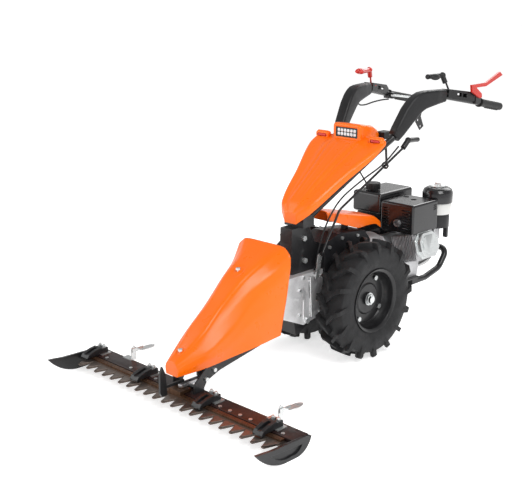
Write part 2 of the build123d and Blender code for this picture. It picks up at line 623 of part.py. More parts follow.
def transmission_case():
    """Upper black case that holds the gears, with a web for the rear bearings."""
    outline = [(CASE_FRONT, CASE_FLOOR), (88, CASE_FLOOR), (108, 275), (CASE_REAR, 275), (CASE_REAR, 465),
               (110, 512), (-60, 526), (CASE_FRONT, 500)]
    body = shell_x(outline, CASE_HALF, CASTING_WALL)
    body += block(CASTING_WALL - CASE_HALF, CASE_HALF - CASTING_WALL, 56, 66, CASE_FLOOR + CASTING_WALL, 506)
    body += slab_x([(50, 498), (70, 498), (70, 585.6), (50, 590)], -12, 12)
    return body - shaft_hole(0) - rod((0, CASE_FRONT, LAYSHAFT_Z), (0, 70, LAYSHAFT_Z), 12 + RUNNING_FIT)


def clutch_housing():
    """Bell between the case and the engine."""
    outer = rod((0, CASE_REAR, DRIVE_HEIGHT), (0, ENGINE_FACE, DRIVE_HEIGHT), 98)
    inner = rod((0, CASE_REAR + 8, DRIVE_HEIGHT), (0, ENGINE_FACE, DRIVE_HEIGHT), 91)
    return outer - inner - shaft_hole(0)


def clutch_drum():
    """Cup on the drive shaft."""
    cup = rod((0, DRUM_BACK - 6, DRIVE_HEIGHT), (0, DRUM_BACK + 44, DRIVE_HEIGHT), 72)
    cup -= rod((0, DRUM_BACK, DRIVE_HEIGHT), (0, DRUM_BACK + 44, DRIVE_HEIGHT), 66)
    return cup - rod((0, 0, DRIVE_HEIGHT), (0, DRUM_BACK + 1, DRIVE_HEIGHT), SHAFT_RADIUS)


def clutch_shoes():
    """Three weighted shoes on their hub, inside the drum."""
    y0, y1 = DRUM_BACK + 8, DRUM_BACK + 38
    hub_part = rod((0, y0, DRIVE_HEIGHT), (0, y1, DRIVE_HEIGHT), 30)
    ring = rod((0, y0, DRIVE_HEIGHT), (0, y1, DRIVE_HEIGHT), 64)
    ring -= rod((0, y0, DRIVE_HEIGHT), (0, y1, DRIVE_HEIGHT), 40)
    for angle in ring_places(3, 90):
        ring -= Pos(0, 0, DRIVE_HEIGHT) * Rot(0, angle, 0) * block(0, 80, y0, y1, -5, 5)
        arm = Pos(0, 0, DRIVE_HEIGHT) * Rot(0, angle + 60, 0) * block(25, 45, y0, y1, -8, 8)
        hub_part += arm
    body = hub_part + ring
    return body - rod((0, 0, DRIVE_HEIGHT), (0, 400, DRIVE_HEIGHT), CRANK_RADIUS)


def save_transmission():
    """Castings, gears, clutch and what is bolted to them."""
    save("gearbox_housing", gearbox())
    save("transmission_case", transmission_case())
    save("clutch_housing", clutch_housing())
    save("clutch_drum", clutch_drum())
    wheel_phase = 90 + 180 / WHEEL_TEETH
    save("layshaft_gear", spur_gear(WHEEL_TEETH, GEAR_WIDTH, (0, LAYSHAFT_Z), -60, 11, wheel_phase)
         + rod((0, CASE_FRONT + 1, LAYSHAFT_Z), (0, 66, LAYSHAFT_Z), 12))
    skid = slab_x([(-306, 196), (-267, 180), (-186, 193), (-150, 189), (-185, 172), (-272, 136), (-296, 136)], -44, 44)
    save("skid_plate", skid - gearbox())
    column = shell_x([(-305, GEARBOX_TOP), (-309, 522), (-306, COLUMN_TOP), (-200, COLUMN_TOP), (-168, 500),
                      (CASE_FRONT, 496), (CASE_FRONT, GEARBOX_TOP)], COLUMN_HALF, 5)
    clamp = block(-52, 52, -262, -196, COLUMN_TOP, COLUMN_TOP + 48)
    for tube in both_sides(handle_tube()):
        clamp -= tube
    save("steering_column", column + clamp)
    save("selector_lever", selector_lever())
    save("chassis_bolts", *chassis_bolts(), *hood_bolts())


def selector_lever():
    """Gear selector on the gearbox's left wall, with its pin in the wall."""
    plate = slab_x([(SELECTOR_Y - 10, SELECTOR_Z - 10), (SELECTOR_Y + 12, SELECTOR_Z - 8), (-176, 462),
                    (-190, 468), (-198, 460)], 74, 80)
    return plate + rod((GEARBOX_HALF - 6, SELECTOR_Y, SELECTOR_Z), (80, SELECTOR_Y, SELECTOR_Z), 6)


def chassis_bolts():
    """Bolts, the oil plug and the zinc park-lock rod on the castings, the column and the carrier."""
    rows = [(CARRIER_HALF, 15, ((-640, 200), (-700, 186), (-770, 130), (-812, 104))),
            (GEARBOX_HALF, 12, ((-292, 225), (-292, 330), (-170, 215), (-170, 368), (-270, 380))),
            (CASE_HALF, 13, ((-120, 480), (-40, 505), (60, 498), (120, 440), (120, 330), (-120, 330))),
            (COLUMN_HALF, 20, ((-238, 535), (-232, 440)))]
    bolts = [side for half, across_flats, places in rows for y, z in places
             for side in both_sides(hex_bolt((half, y, z), (1, 0, 0), across_flats, across_flats / 2))]
    bolts.append(hex_bolt((GEARBOX_HALF, -253, 193), (1, 0, 0), 22, 12))
    lock_rod = rod((LOCK_ROD_X, -228, 205), (LOCK_ROD_X, -236, 376), 4)
    lock_rod += rod((GEARBOX_HALF, -229, 215), (LOCK_ROD_X, -229, 215), 5)
    lock_rod += rod((GEARBOX_HALF, -235, 360), (LOCK_ROD_X, -235, 360), 5)
    return [*bolts, lock_rod - gearbox()]


# ---- covers --------------------------------------------------------------------------------------
def hood_section(y, side, inset, drop):
    """Cross-section of the front hood: its left side from the low edge to the top panel, mirrored."""
    low_x, low_z = side[0]
    points = [(low_x - inset, low_z - drop)] + [(x - inset, z - inset) for x, z in side[1:]]
    points += [(-x, z) for x, z in reversed(points)]
    return Plane.XZ.offset(-y) * make_face(Polyline(*points, close=True))


def front_hood():
    """Wedge-shaped shell over the knife drive, open below and behind."""
    outer = loft([hood_section(y, side, 0, 0) for y, side in HOOD_STATIONS.items()], ruled=True)
    places = list(HOOD_STATIONS)
    inner_places = [places[0] + COVER_WALL, *places[1:-1], places[-1] + 1]
    inner = loft([hood_section(y, side, COVER_WALL, 8) for y, side in zip(inner_places, HOOD_STATIONS.values())],
                 ruled=True)
    body = outer - inner
    body -= slab_x([(-431, 600), (-431, 540), (-473, 206), (-473, 100), (-300, 100), (-300, 600)], -200, 200)
    for y, z in HOOD_BOLT_PLACES:
        body -= rod((0, y, z - 40), (0, y, z + 40), 5)
    return body


def hood_bolts():
    """Two bolts down through the hood's middle."""
    return [hex_bolt((0, y, z), (0, 0, 1), 16, 8, 5, 30) for y, z in HOOD_BOLT_PLACES]


def cowl_section(y, half, low, edge, middle, inset):
    """Cross-section of the upper cowl, with its sides turned down."""
    half -= inset
    points = [(half, low), (half, edge - 8 - inset), (half * 0.93, edge - inset), (half * 0.35, middle - inset)]
    points += [(-x, z) for x, z in reversed(points)]
    return Plane.XZ.offset(-y) * make_face(Polyline(*points, close=True))


def upper_cowl():
    """Shield below the handlebar, with the raised pod that holds the headlight."""
    stations = [(-283, 31, 600, 640, 644), (-249, 80, 645, 680, 690), (-100, 132, 757, 790, 800),
                (28, 180, 850, 876, 884), (98, 181, 893, 914, 912)]
    outer = loft([cowl_section(*station, 0) for station in stations], ruled=True)
    lowered = [(y, half, low - 12, edge, middle) for y, half, low, edge, middle in stations]
    lowered[0] = (-283 + COVER_WALL, *lowered[0][1:])
    lowered[-1] = (100, *lowered[-1][1:])
    inner = loft([cowl_section(*station, COVER_WALL) for station in lowered], ruled=True)
    pod_side = [(60, 890), (64, 966), (76, 966), (150, 955), (205, 925), (205, 890), (100, 880)]
    inner_side = [(63, 870), (67, 963), (76, 963), (149, 952), (202, 923), (202, 870)]
    pod = slab_x(pod_side, -75, 75)
    pod_hollow = slab_x(inner_side, 3 - 75, 75 - 3)
    lamp_hole = block(-LAMP_HALF - 4, LAMP_HALF + 4, 40, 80, LAMP_LOW - 4, LAMP_HIGH + 4)
    return outer + pod - inner - pod_hollow - lamp_hole


def saddle_cover():
    """Small cover above the transmission, with turned-down sides."""
    outline = [(-140, 600), (-140, 636), (5, 603), (120, 578), (178, 562), (212, 540), (212, 500),
               (176, 528), (140, 533), (16, 530), (-2, 556), (-60, 570)]
    low = [(y, z - COVER_WALL) for y, z in outline[1:6]]
    inner = [(-150, 500), (-150, 636), *low, (222, 536), (222, 450), (-60, 450)]
    body = slab_x(outline, -78, 78) - slab_x(inner, COVER_WALL - 78, 78 - COVER_WALL)
    return body


def save_covers():
    """Orange covers and the lamp."""
    bolts = hood_bolts()
    save("front_hood", front_hood() - bolts)
    save("upper_cowl", upper_cowl())
    save("saddle_cover", saddle_cover())
    bezel = block(-LAMP_HALF - 4, LAMP_HALF + 4, 61, 78, LAMP_LOW - 4, LAMP_HIGH + 4)
    window = block(-LAMP_HALF, LAMP_HALF, 60, 74, LAMP_LOW, LAMP_HIGH)
    save("headlight", bezel - window, block(-LAMP_HALF, LAMP_HALF, 63, 67, LAMP_LOW, LAMP_HIGH))
    save("switch_box", block(40, 88, 205, 262, 892, 922))


# ---- engine --------------------------------------------------------------------------------------
def along_cylinder(distance):
    """Plane across the cylinder at a distance from the crankshaft; its local x runs along the machine."""
    tilt = radians(CYLINDER_TILT)
    origin = (distance * cos(tilt), CYLINDER_Y, DRIVE_HEIGHT + distance * sin(tilt))
    return Plane(origin=origin, x_dir=(0, 1, 0), z_dir=(cos(tilt), 0, sin(tilt)))


def across(distance, height, width, depth, radius=0.0):
    """Box or rounded box across the cylinder's line: width along the machine."""
    profile = RectangleRounded(width, height, radius) if radius else Rectangle(width, height)
    return extrude(along_cylinder(distance) * profile, depth)


def cylinder_bore(start, depth, radius):
    """Round hole or plug on the cylinder's line."""
    return extrude(along_cylinder(start) * Circle(radius), depth)


def crankcase():
    """Engine block below the cylinder, with its bearings' bores and the cylinder's opening."""
    low, high = ENGINE_BASE + 6, 455
    outline = [(-105, low), (105, low), (112, 290), (112, 400), (60, high), (-70, high), (-112, 400), (-112, 290)]
    body = slab_y(outline, ENGINE_FACE, SHROUD_FACE)
    small = [(x * 0.92, DRIVE_HEIGHT + (z - DRIVE_HEIGHT) * 0.92) for x, z in outline]
    body -= slab_y(small, ENGINE_FACE + 9, SHROUD_FACE - 8)
    body -= cylinder_bore(60, 60, BORE_RADIUS + 3)
    body -= block(120, 200, 0, 600, 200, 600) + across(CYLINDER_START, 300, 300, 60)
    return body - rod((0, 0, DRIVE_HEIGHT), (0, 600, DRIVE_HEIGHT), CRANK_RADIUS + RUNNING_FIT)


def cylinder():
    """Finned barrel with its bore."""
    body = across(CYLINDER_START, 104, 118, HEAD_START - CYLINDER_START, 12)
    for distance in range(int(CYLINDER_START) + 6, int(HEAD_START) - 3, 8):
        body += across(distance, 126, 140, 3, 10)
    return body - cylinder_bore(CYLINDER_START, HEAD_START, BORE_RADIUS)


def cylinder_head():
    """Finned head, closed towards the valve cover."""
    body = across(HEAD_START, 108, 126, COVER_START - HEAD_START, 12)
    for distance in range(int(HEAD_START) + 8, int(COVER_START) - 4, 9):
        body += across(distance, 124, 146, 3, 10)
    return body - cylinder_bore(HEAD_START, 8, BORE_RADIUS)


def engine_top():
    """Barrel and head as one piece."""
    return cylinder() + cylinder_head()


def valve_cover():
    """Pressed octagonal cover with its rim."""
    corner = 34
    half_w, half_h = 74, 59
    points = [(half_w, corner - half_h), (half_w, half_h - corner), (half_w - corner, half_h),
              (corner - half_w, half_h), (-half_w, half_h - corner), (-half_w, corner - half_h),
              (corner - half_w, -half_h), (half_w - corner, -half_h)]
    outline = make_face(Polyline(*points, close=True))
    body = extrude(along_cylinder(COVER_START) * outline, 5)
    body += extrude(along_cylinder(COVER_START) * scale(outline, 0.88), 26)
    body += extrude(along_cylinder(COVER_START + 26) * scale(outline, 0.66), 4)
    return body - extrude(along_cylinder(COVER_START) * scale(outline, 0.82), 22)


def crankshaft():
    """Crankshaft at top dead centre, with its throw towards the cylinder."""
    y = CYLINDER_Y
    body = rod((0, DRUM_BACK + 6, DRIVE_HEIGHT), (0, y - 16, DRIVE_HEIGHT), CRANK_RADIUS)
    body += rod((0, y + 16, DRIVE_HEIGHT), (0, FLYWHEEL_FACE + 34, DRIVE_HEIGHT), CRANK_RADIUS)
    pin = along_cylinder(CRANK_STROKE / 2).origin
    for start in (y - 26, y + 14):
        body += rod((0, start, DRIVE_HEIGHT), (0, start + 12, DRIVE_HEIGHT), 34)
        body += rod((pin.X, start, pin.Z), (pin.X, start + 12, pin.Z), 24)
    return body + rod((pin.X, y - 20, pin.Z), (pin.X, y + 20, pin.Z), CRANK_PIN_RADIUS)


def connecting_rod():
    """Rod from the crank pin to the piston pin."""
    big = along_cylinder(CRANK_STROKE / 2).origin
    small = along_cylinder(CRANK_STROKE / 2 + ROD_LENGTH).origin
    y = CYLINDER_Y
    body = rod((big.X, y - 10, big.Z), (big.X, y + 10, big.Z), CRANK_PIN_RADIUS + 8)
    body += rod((small.X, y - 9, small.Z), (small.X, y + 9, small.Z), 15)
    body += across(CRANK_STROKE / 2, 18, 12, ROD_LENGTH)
    body -= rod((big.X, y - 20, big.Z), (big.X, y + 20, big.Z), CRANK_PIN_RADIUS + RUNNING_FIT)
    return body - rod((small.X, y - 20, small.Z), (small.X, y + 20, small.Z), PISTON_PIN_RADIUS + RUNNING_FIT)


def piston():
    """Piston with its pin, clear of the rod."""
    pin_at = CRANK_STROKE / 2 + ROD_LENGTH
    body = cylinder_bore(pin_at - 24, 48, BORE_RADIUS - RUNNING_FIT)
    body -= cylinder_bore(pin_at - 24, 42, BORE_RADIUS - 6)
    small = along_cylinder(pin_at).origin
    return body + rod((small.X, CYLINDER_Y - 41, small.Z), (small.X, CYLINDER_Y + 41, small.Z), PISTON_PIN_RADIUS)


def fuel_tank():
    """Pressed tank, hollow, with its filler neck."""
    outside = fillet(block(-118, 42, 252, 492, 546, 640).edges(), 14)
    inside = fillet(block(-116, 40, 254, 490, 548, 638).edges(), 12)
    neck = rod((CAP_X, CAP_Y, 630), (CAP_X, CAP_Y, 650), 24)
    throat = rod((CAP_X, CAP_Y, 620), (CAP_X, CAP_Y, 650), 21)
    return outside - inside + neck - throat


def fuel_cap():
    """Ribbed cap over the filler neck."""
    body = rod((CAP_X, CAP_Y, 644), (CAP_X, CAP_Y, 672), 33)
    body -= rod((CAP_X, CAP_Y, 640), (CAP_X, CAP_Y, 650.3), 24.3)
    for angle in ring_places(18):
        body -= Pos(CAP_X, CAP_Y, 0) * Rot(0, 0, angle) * rod((35, 0, 640), (35, 0, 664), 4)
    return body


def muffler_shield():
    """Louvred guard over the muffler."""
    outer = block(52, 228, 240, 424, 492, 618)
    outer = fillet(outer.edges().filter_by(Axis.Z) + outer.faces().sort_by(Axis.Z)[-1].edges(), 10)
    body = outer - block(55, 225, 243, 421, 480, 615)
    for x, y in ((92, 372), (150, 348)):
        body -= rod((x, y, 600), (x, y, 630), 13)
    for row in range(7):
        z = 510 + 13 * row
        body -= block(66, 100, 236, 246, z, z + 5) + block(168, 212, 236, 246, z, z + 5)
    for row in range(3):
        z = 578 + 9 * row
        body -= block(222, 232, 388, 408, z, z + 4)
    return body - rod((148, 230, 533), (148, 250, 533), 17)


def muffler():
    """Canister with its outlet stub through the guard."""
    body = fillet(block(66, 214, 256, 412, 506, 604).edges(), 12)
    body += rod((140, CYLINDER_Y, 460), (140, CYLINDER_Y, 510), 14) - engine_top()
    body += block(55, 225, 326, 338, 550, 560)
    return body + rod((148, 228, 533), (148, 262, 533), 15) - rod((148, 228, 533), (148, 250, 533), 12)


def save_air_cleaner():
    """Air cleaner from its base to its wing nut."""
    x, y = AIR_X, AIR_Y
    base = rod((x, y, 478), (x, y, 540), 56) + block(x - 16, x + 16, y + 40, y + 70, 486, 520)
    base += block(x + 30, x + 48, y + 10, y + 24, 430, 480)
    stud = rod((x, y, 539), (x, y, 662), 4)
    save("air_filter_base", base + stud, rod((x, y, 540), (x, y, 590), 62, 58), rod((x, y, 540), (x, y, 590), 45, 30))
    cap = revolve(Plane.XZ * make_face(Polyline((0, 646), (0, 658), (48, 656), (62, 648), (68, 634), (68, 590),
                                                (58, 590), (58, 640), close=True)), Axis.Z)
    cap = Pos(x, y, 0) * cap
    nut = rod((x, y, 656), (x, y, 663), 32) + rod((x, y, 662), (x, y, 668), 9)
    wings = block(x - 16, x + 16, y - 2, y + 2, 661, 674)
    save("air_filter_cap", cap + nut + wings - rod((x, y, 500), (x, y, 662), 4))


def fan_shroud():
    """Drum-shaped blower housing behind the block."""
    body = rod((0, SHROUD_FACE, DRIVE_HEIGHT), (0, 556, DRIVE_HEIGHT), 128)
    body -= rod((0, SHROUD_FACE, DRIVE_HEIGHT), (0, 552, DRIVE_HEIGHT), 125)
    body -= rod((0, 540, DRIVE_HEIGHT), (0, 600, DRIVE_HEIGHT), 70)
    return body - block(-300, 300, 300, 700, 496, 600)


def recoil_starter():
    """Starter cover with air slots."""
    body = rod((0, 556, DRIVE_HEIGHT), (0, 586, DRIVE_HEIGHT), 92)
    body -= rod((0, 556, DRIVE_HEIGHT), (0, 582, DRIVE_HEIGHT), 88)
    for angle in ring_places(10):
        body -= Pos(0, 0, DRIVE_HEIGHT) * Rot(0, angle, 0) * block(50, 76, 570, 600, -5, 5)
    return body


def flywheel():
    """Flywheel with its fan blades."""
    body = rod((0, FLYWHEEL_FACE, DRIVE_HEIGHT), (0, FLYWHEEL_FACE + 22, DRIVE_HEIGHT), 96)
    for angle in ring_places(12):
        body += Pos(0, 0, DRIVE_HEIGHT) * Rot(0, angle, 0) * block(55, 94, FLYWHEEL_FACE + 20, FLYWHEEL_FACE + 48, -2, 2)
    return body - rod((0, 0, DRIVE_HEIGHT), (0, 700, DRIVE_HEIGHT), CRANK_RADIUS)


def rear_bumper():
    """U-shaped tube below and behind the engine."""
    side = [(110, 400, BUMPER_Z), (110, 512, BUMPER_Z), (110, 622, 244), (110, 684, 322)]
    points = side + [(-x, y, z) for x, y, z in reversed(side)]
    body = bent_tube(points, BUMPER_RADIUS, [60, 60, 40, 40, 60, 60])
    for x in (-110, 110):
        body += block(x - 14, x + 14, 396, 440, BUMPER_Z, ENGINE_BASE)
    return body


def save_engine():
    """Engine pieces."""
    save("crankcase", crankcase())
    save("cylinder", engine_top())
    save("valve_cover", valve_cover())
    save("crankshaft", crankshaft(), clutch_shoes())
    save("piston", piston(), connecting_rod())
    save("flywheel", flywheel())
    top_shroud = block(-95, 35, 262, 450, 455, 546) - block(-92, 32, 265, 447, 440, 543)
    save("engine_shroud", fan_shroud(), top_shroud)
    handle = rod((30, 604, 425), (78, 604, 425), 9) + rod((54, 586, 425), (54, 604, 425), 5)
    save("recoil_starter", recoil_starter(), handle)
    save("fuel_tank", fuel_tank())
    save("fuel_cap", fuel_cap())
    save("muffler_shield", muffler_shield())
    save("muffler", muffler())
    save_air_cleaner()
    save("carburettor", block(152, 196, 444, 488, 424, 476) + rod((174, 466, 400), (174, 466, 424), 20)
         + rod((174, 466, 475), (174, 466, 478), 18) + (rod((174, 390, 440), (174, 445, 440), 13) - engine_top()))
    save("rear_bumper", rear_bumper() + block(-126, 126, 262, 450, ENGINE_BASE, ENGINE_BASE + 6))


# ---- handlebar and controls ----------------------------------------------------------------------
TUBE_POINTS = [(28, -240, 598), (128, 92, 850), (147, 182, 905), (176, 312, 1052), (206, 448, 1066),
               (GRIP_X, GRIP_START - 9, 1023), (GRIP_X, GRIP_REACH, GRIP_HEIGHT)]


def handle_tube():
    """Left tube from the column to the end of the grip."""
    return bent_tube(TUBE_POINTS, BAR_TUBE_RADIUS, [70, 60, 60, 60, 50])


def handle_shroud():
    """Left knee cover round the tube, in line with it."""
    outline = [(170, 925), (238, 1030), (292, 1078), (335, 1092), (456, 1094), (456, 1040), (345, 1016),
               (300, 982), (205, 893)]
    inside = [(160, 920), (240, 1027), (294, 1075), (336, 1089), (466, 1091), (466, 1043), (344, 1019),
              (298, 985), (196, 880)]
    cover = slab_x(outline, -KNEE_HALF, KNEE_HALF)
    cover -= slab_x(inside, COVER_WALL - KNEE_HALF, KNEE_HALF - COVER_WALL)
    middle = (TUBE_POINTS[2][0] + TUBE_POINTS[4][0]) / 2
    turned = Pos(middle, KNEE_MIDDLE_Y, 0) * Rot(0, 0, -KNEE_FLARE) * Pos(0, -KNEE_MIDDLE_Y, 0) * cover
    return turned - handle_tube()


def grip():
    """Left rubber grip with finger ridges below."""
    start = grip_point(0)
    end = grip_point(GRIP_LENGTH)
    body = rod(start, end, GRIP_RADIUS)
    for index in range(6):
        x, y, z = grip_point(62 + 18 * index)
        body += Pos(x, y, z - 8) * Sphere(13)
    body += rod(start, grip_point(6), GRIP_RADIUS + 4)
    return body - handle_tube()


def grip_point(distance, lift=0.0):
    """Point on the left grip's middle line, or above it."""
    tilt = radians(GRIP_SLOPE)
    return (GRIP_X, GRIP_START + distance * cos(tilt), GRIP_TOP_Z - distance * sin(tilt) + lift)


def in_tube_frame(shape):
    """Put a piece drawn along +Y from the origin onto the left tube behind the shroud."""
    return Pos(*TUBE_POINTS[4]) * Rot(-10.5, 0, -10.9) * shape


def lever_bracket():
    """Folded steel bracket over the tube, with windows and an arched tail."""
    outer = slab_x([(14, -8), (14, 30), (150, 34), (176, 20), (176, -4), (150, -8)], -24, 24)
    body = outer - slab_x([(0, -20), (0, 27), (148, 31), (173, 18), (190, 18), (190, -20)], -21, 21)
    body -= block(-40, 40, 66, 92, 6, 22) + block(-40, 40, 100, 126, 6, 22)
    body -= block(-9, 6, 13, 66, 20, 40)
    return in_tube_frame(body - rod((-60, 40, 20), (60, 40, 20), LEVER_PIN_RADIUS + RUNNING_FIT))


def lever_plate():
    """Plate lever between the bracket's cheeks, with its pin and its stem."""
    body = rod((-24, 40, 20), (24, 40, 20), LEVER_PIN_RADIUS)
    body += rod((0, 40, 20), (-4, 10, 62), 4)
    body += rod((-4, 10, 56), (-6, -10, 84), 11) + Pos(-6, -10, 84) * Sphere(14)
    return in_tube_frame(body + rod((-6, -10, 84), (-10, -90, 68), 10) + Pos(-10, -90, 68) * Sphere(11))


def tube_bracket():
    """Small strap below the left tube, with two holes."""
    strap = slab_x([(320, 1012), (300, 966), (332, 928), (358, 942), (336, 986), (346, 1016)], 176, 179)
    holes = rod((170, 316, 972), (190, 316, 972), 5) + rod((170, 336, 944), (190, 336, 944), 5)
    return (strap - handle_shroud() - holes).solids().sort_by(SortBy.VOLUME)[-1]


def clutch_lever():
    """Red hold-to-run lever above the left grip."""
    outline = [(CLUTCH_Y - 8, CLUTCH_Z - 8), (CLUTCH_Y + 8, CLUTCH_Z - 6), (CLUTCH_Y + 6, CLUTCH_Z + 10),
               (604, 1092), (681, 1092), (811, 1132), (788, 1148), (681, 1108), (566, 1106), (572, 1076)]
    plate = slab_x(outline, CLUTCH_X, CLUTCH_X + 10)
    return plate + rod((CLUTCH_X - 14, CLUTCH_Y, CLUTCH_Z), (CLUTCH_X + 1, CLUTCH_Y, CLUTCH_Z), 4)


def clutch_base():
    """Zinc block on the left tube that carries the hold-to-run lever."""
    body = block(GRIP_X - 14, CLUTCH_X - 0.5, CLUTCH_Y - 24, CLUTCH_Y + 18, 1020, CLUTCH_Z + 10) - handle_tube()
    body -= block(GRIP_X - 20, GRIP_X + 2, CLUTCH_Y - 30, CLUTCH_Y + 30, 1000, 1030)
    body -= rod((CLUTCH_X - 14.4, CLUTCH_Y, CLUTCH_Z), (CLUTCH_X + 1, CLUTCH_Y, CLUTCH_Z), 4 + RUNNING_FIT)
    return body.solids().sort_by(SortBy.VOLUME)[-1]


def hand_lever():
    """Zinc lever inboard of the right grip, on an upright pin."""
    pivot = (HAND_X, HAND_Y)
    body = rod((*pivot, 1004), (*pivot, 1032), 4)
    body += rod((*pivot, 1014), (*pivot, 1024), 9)
    return body + rod((*pivot, 1019), (HAND_X + 13, HAND_Y + 126, 1000), 5)


def hand_base():
    """Clamp on the right tube with ears above and below the hand lever."""
    body = block(-GRIP_X - 6, HAND_X + 9, HAND_Y - 12, HAND_Y + 9, 1004, 1032)
    body -= block(HAND_X - 10, HAND_X + 12, HAND_Y - 20, HAND_Y + 20, 1011.5, 1024.5)
    body -= mirror(handle_tube(), about=Plane.YZ)
    body -= rod((HAND_X, HAND_Y, 990), (HAND_X, HAND_Y, 1040), 4 + RUNNING_FIT)
    return body.solids().sort_by(SortBy.VOLUME)[-1]


def gear_rod():
    """Gear change rod with its knob and the flattened end beside the selector."""
    body = bent_tube([(100, 340, 850), (100, -95, 639), (88, -186, 468)], 5, [40])
    body += rod((100, 325, 843), (100, 360, 872), 12) + Pos(100, 360, 872) * Sphere(14)
    body += rod((100, 360, 872), (100, 428, 868), 11) + Pos(100, 428, 868) * Sphere(11)
    return body + rod((82, -186, 468), (93, -186, 468), 8)


def rod_guide():
    """Eye that guides the gear rod, on a strut from the left tube."""
    eye = rod((100, 198, 781), (100, 206, 785), 16) - rod((100, 190, 777), (100, 214, 789), 11)
    strut = rod((112, 196, 786), (140, 150, 885), 5)
    return (eye + strut) - handle_tube()


def cable(points):
    """Cable along straight runs with the largest arcs that the runs allow."""
    corners = [Vector(*point) for point in points]
    radii = []
    for before, here, after in zip(corners, corners[1:], corners[2:]):
        turn = (here - before).get_angle(after - here)
        shorter = min((here - before).length, (after - here).length)
        radii.append(0.45 * shorter / tan(radians(turn) / 2))
    print("cable bend radii", [round(radius) for radius in radii])
    return bent_tube(points, CABLE_RADIUS, radii)


CABLE_ROUTES = {
    "clutch": [(166, 204, 872), (156, 120, 806), (120, 10, 745), (90, -88, 678), (86, -162, 590), (66, -186, 480),
               (50, -190, GEARBOX_TOP + 0.8)],
    "drive": [(-160, 204, 876), (-150, 116, 806), (-124, 4, 742), (-86, -90, 676), (-82, -162, 588),
              (-66, -186, 478), (-50, -190, GEARBOX_TOP + 0.8)],
    "throttle": [(-158, 218, 884), (-160, 250, 846), (-158, 300, 760), (-142, 372, 660), (-136, 440, 560),
                 (-134, 476, 474), (-123.5, 490, 413)],
    "hand": [(-226, 639, 1000), (-224, 590, 1002), (-220, 520, 999), (-212, 450, 992), (-200, 396, 996),
             (-188, 362, 1010)],
}


def save_handlebar():
    """Both handle tubes and what is on them."""
    tube_left, tube_right = both_sides(handle_tube())
    stay = rod((128, 92, 850), (128, 92, 900), 6)
    stay_left, stay_right = both_sides(stay)
    save("handle_tube_left", tube_left + stay_left)
    save("handle_tube_right", tube_right + stay_right)
    save("knee_covers", *both_sides(handle_shroud()))
    save("grips", *both_sides(grip()))
    save("lever_brackets", *both_sides(lever_bracket()), clutch_base(), hand_base(), tube_bracket(), rod_guide())
    save("drive_lever", lever_plate())
    save("throttle_lever", mirror(lever_plate(), about=Plane.YZ))
    save("clutch_lever", clutch_lever())
    save("hand_lever", hand_lever())
    save("gear_rod", gear_rod())
    save("control_cables", *[cable(points) for points in CABLE_ROUTES.values()])


if __name__ == "__main__":
    os.makedirs("parts", exist_ok=True)
    save_wheels()
    save_cutter_bar()
    save_carrier()
    save_transmission()
    save_covers()
    save_engine()
    save_handlebar()
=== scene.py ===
import math

import bmesh
import bpy
from mathutils import Matrix, Vector


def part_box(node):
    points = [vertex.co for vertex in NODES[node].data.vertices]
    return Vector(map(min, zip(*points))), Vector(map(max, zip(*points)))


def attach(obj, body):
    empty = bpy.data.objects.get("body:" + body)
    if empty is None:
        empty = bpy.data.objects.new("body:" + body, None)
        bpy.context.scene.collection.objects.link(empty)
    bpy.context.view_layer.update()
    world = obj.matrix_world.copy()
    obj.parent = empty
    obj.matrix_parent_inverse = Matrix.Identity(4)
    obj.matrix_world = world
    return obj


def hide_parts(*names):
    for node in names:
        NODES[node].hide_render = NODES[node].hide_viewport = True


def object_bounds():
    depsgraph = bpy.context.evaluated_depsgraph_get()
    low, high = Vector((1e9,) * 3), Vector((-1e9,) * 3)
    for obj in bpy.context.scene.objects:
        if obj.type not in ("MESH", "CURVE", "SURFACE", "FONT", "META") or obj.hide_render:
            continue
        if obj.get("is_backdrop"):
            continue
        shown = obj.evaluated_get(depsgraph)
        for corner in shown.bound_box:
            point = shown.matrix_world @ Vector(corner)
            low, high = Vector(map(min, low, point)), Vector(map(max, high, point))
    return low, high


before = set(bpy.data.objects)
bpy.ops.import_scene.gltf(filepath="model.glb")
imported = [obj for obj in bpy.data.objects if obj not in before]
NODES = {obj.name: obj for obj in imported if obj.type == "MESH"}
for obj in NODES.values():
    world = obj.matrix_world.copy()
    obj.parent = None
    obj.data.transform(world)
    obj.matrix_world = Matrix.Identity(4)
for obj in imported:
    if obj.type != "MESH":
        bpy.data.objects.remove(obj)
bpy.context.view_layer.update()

MM = 0.001

# ---- place of the axle: it is level with the middle of the left tyre ----
TYRE_LOW, TYRE_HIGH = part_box("tyre_left")
AXLE_Y = (TYRE_LOW.y + TYRE_HIGH.y) / 2
WHEEL_RADIUS = (TYRE_HIGH.z - TYRE_LOW.z) / 2

# ---- camera ----
FOCAL_LENGTH = 66.7          # millimetres
SENSOR_WIDTH = 36.0
AZIMUTH = 44.78              # degrees round from the front, towards the machine's left
ELEVATION = 15.58
ROLL = -0.35
CAMERA_PLACE = (2.5853, -3.0561, 1.5433)   # from the floor below the axle

# ---- covers, in millimetres from the floor below the axle ----
COVER_WALL = 3.0
FINEST = 6.0                 # longest stretch of a cover's cross-section
BAND_LOW = 540.5             # air cleaner: just above the lower edge of its pale band
CAP_DISC_LOW = 660.5         # air cleaner: the zinc disc and wing nut are above this
DISC_FACE = 182.0            # wheel bolts stand out past the wheel disc, from the machine's middle
HUB_CLEAR = 40.0             # and are further than this from the axle
HUB_FACE = 190.0             # the axle's end and its pin stand out past the hub
PIN_REACH = 25.0
CORNER_ROUNDS = 2
HOOD_SHARE = 0.13            # share of each stretch that is cut from a corner
COWL_SHARE = 0.12
SADDLE_SHARE = 0.24
HOOD_ROWS = 90
COWL_ROW_COUNT = 70
SADDLE_ROW_COUNT = 50
REAR_PASSES = 4              # rounds to settle where the slanted rear edge ends
HOOD_REAR_TOP = (-431, 540)  # rear edge of the hood: (y, z) of the upper and the lower end of its slope
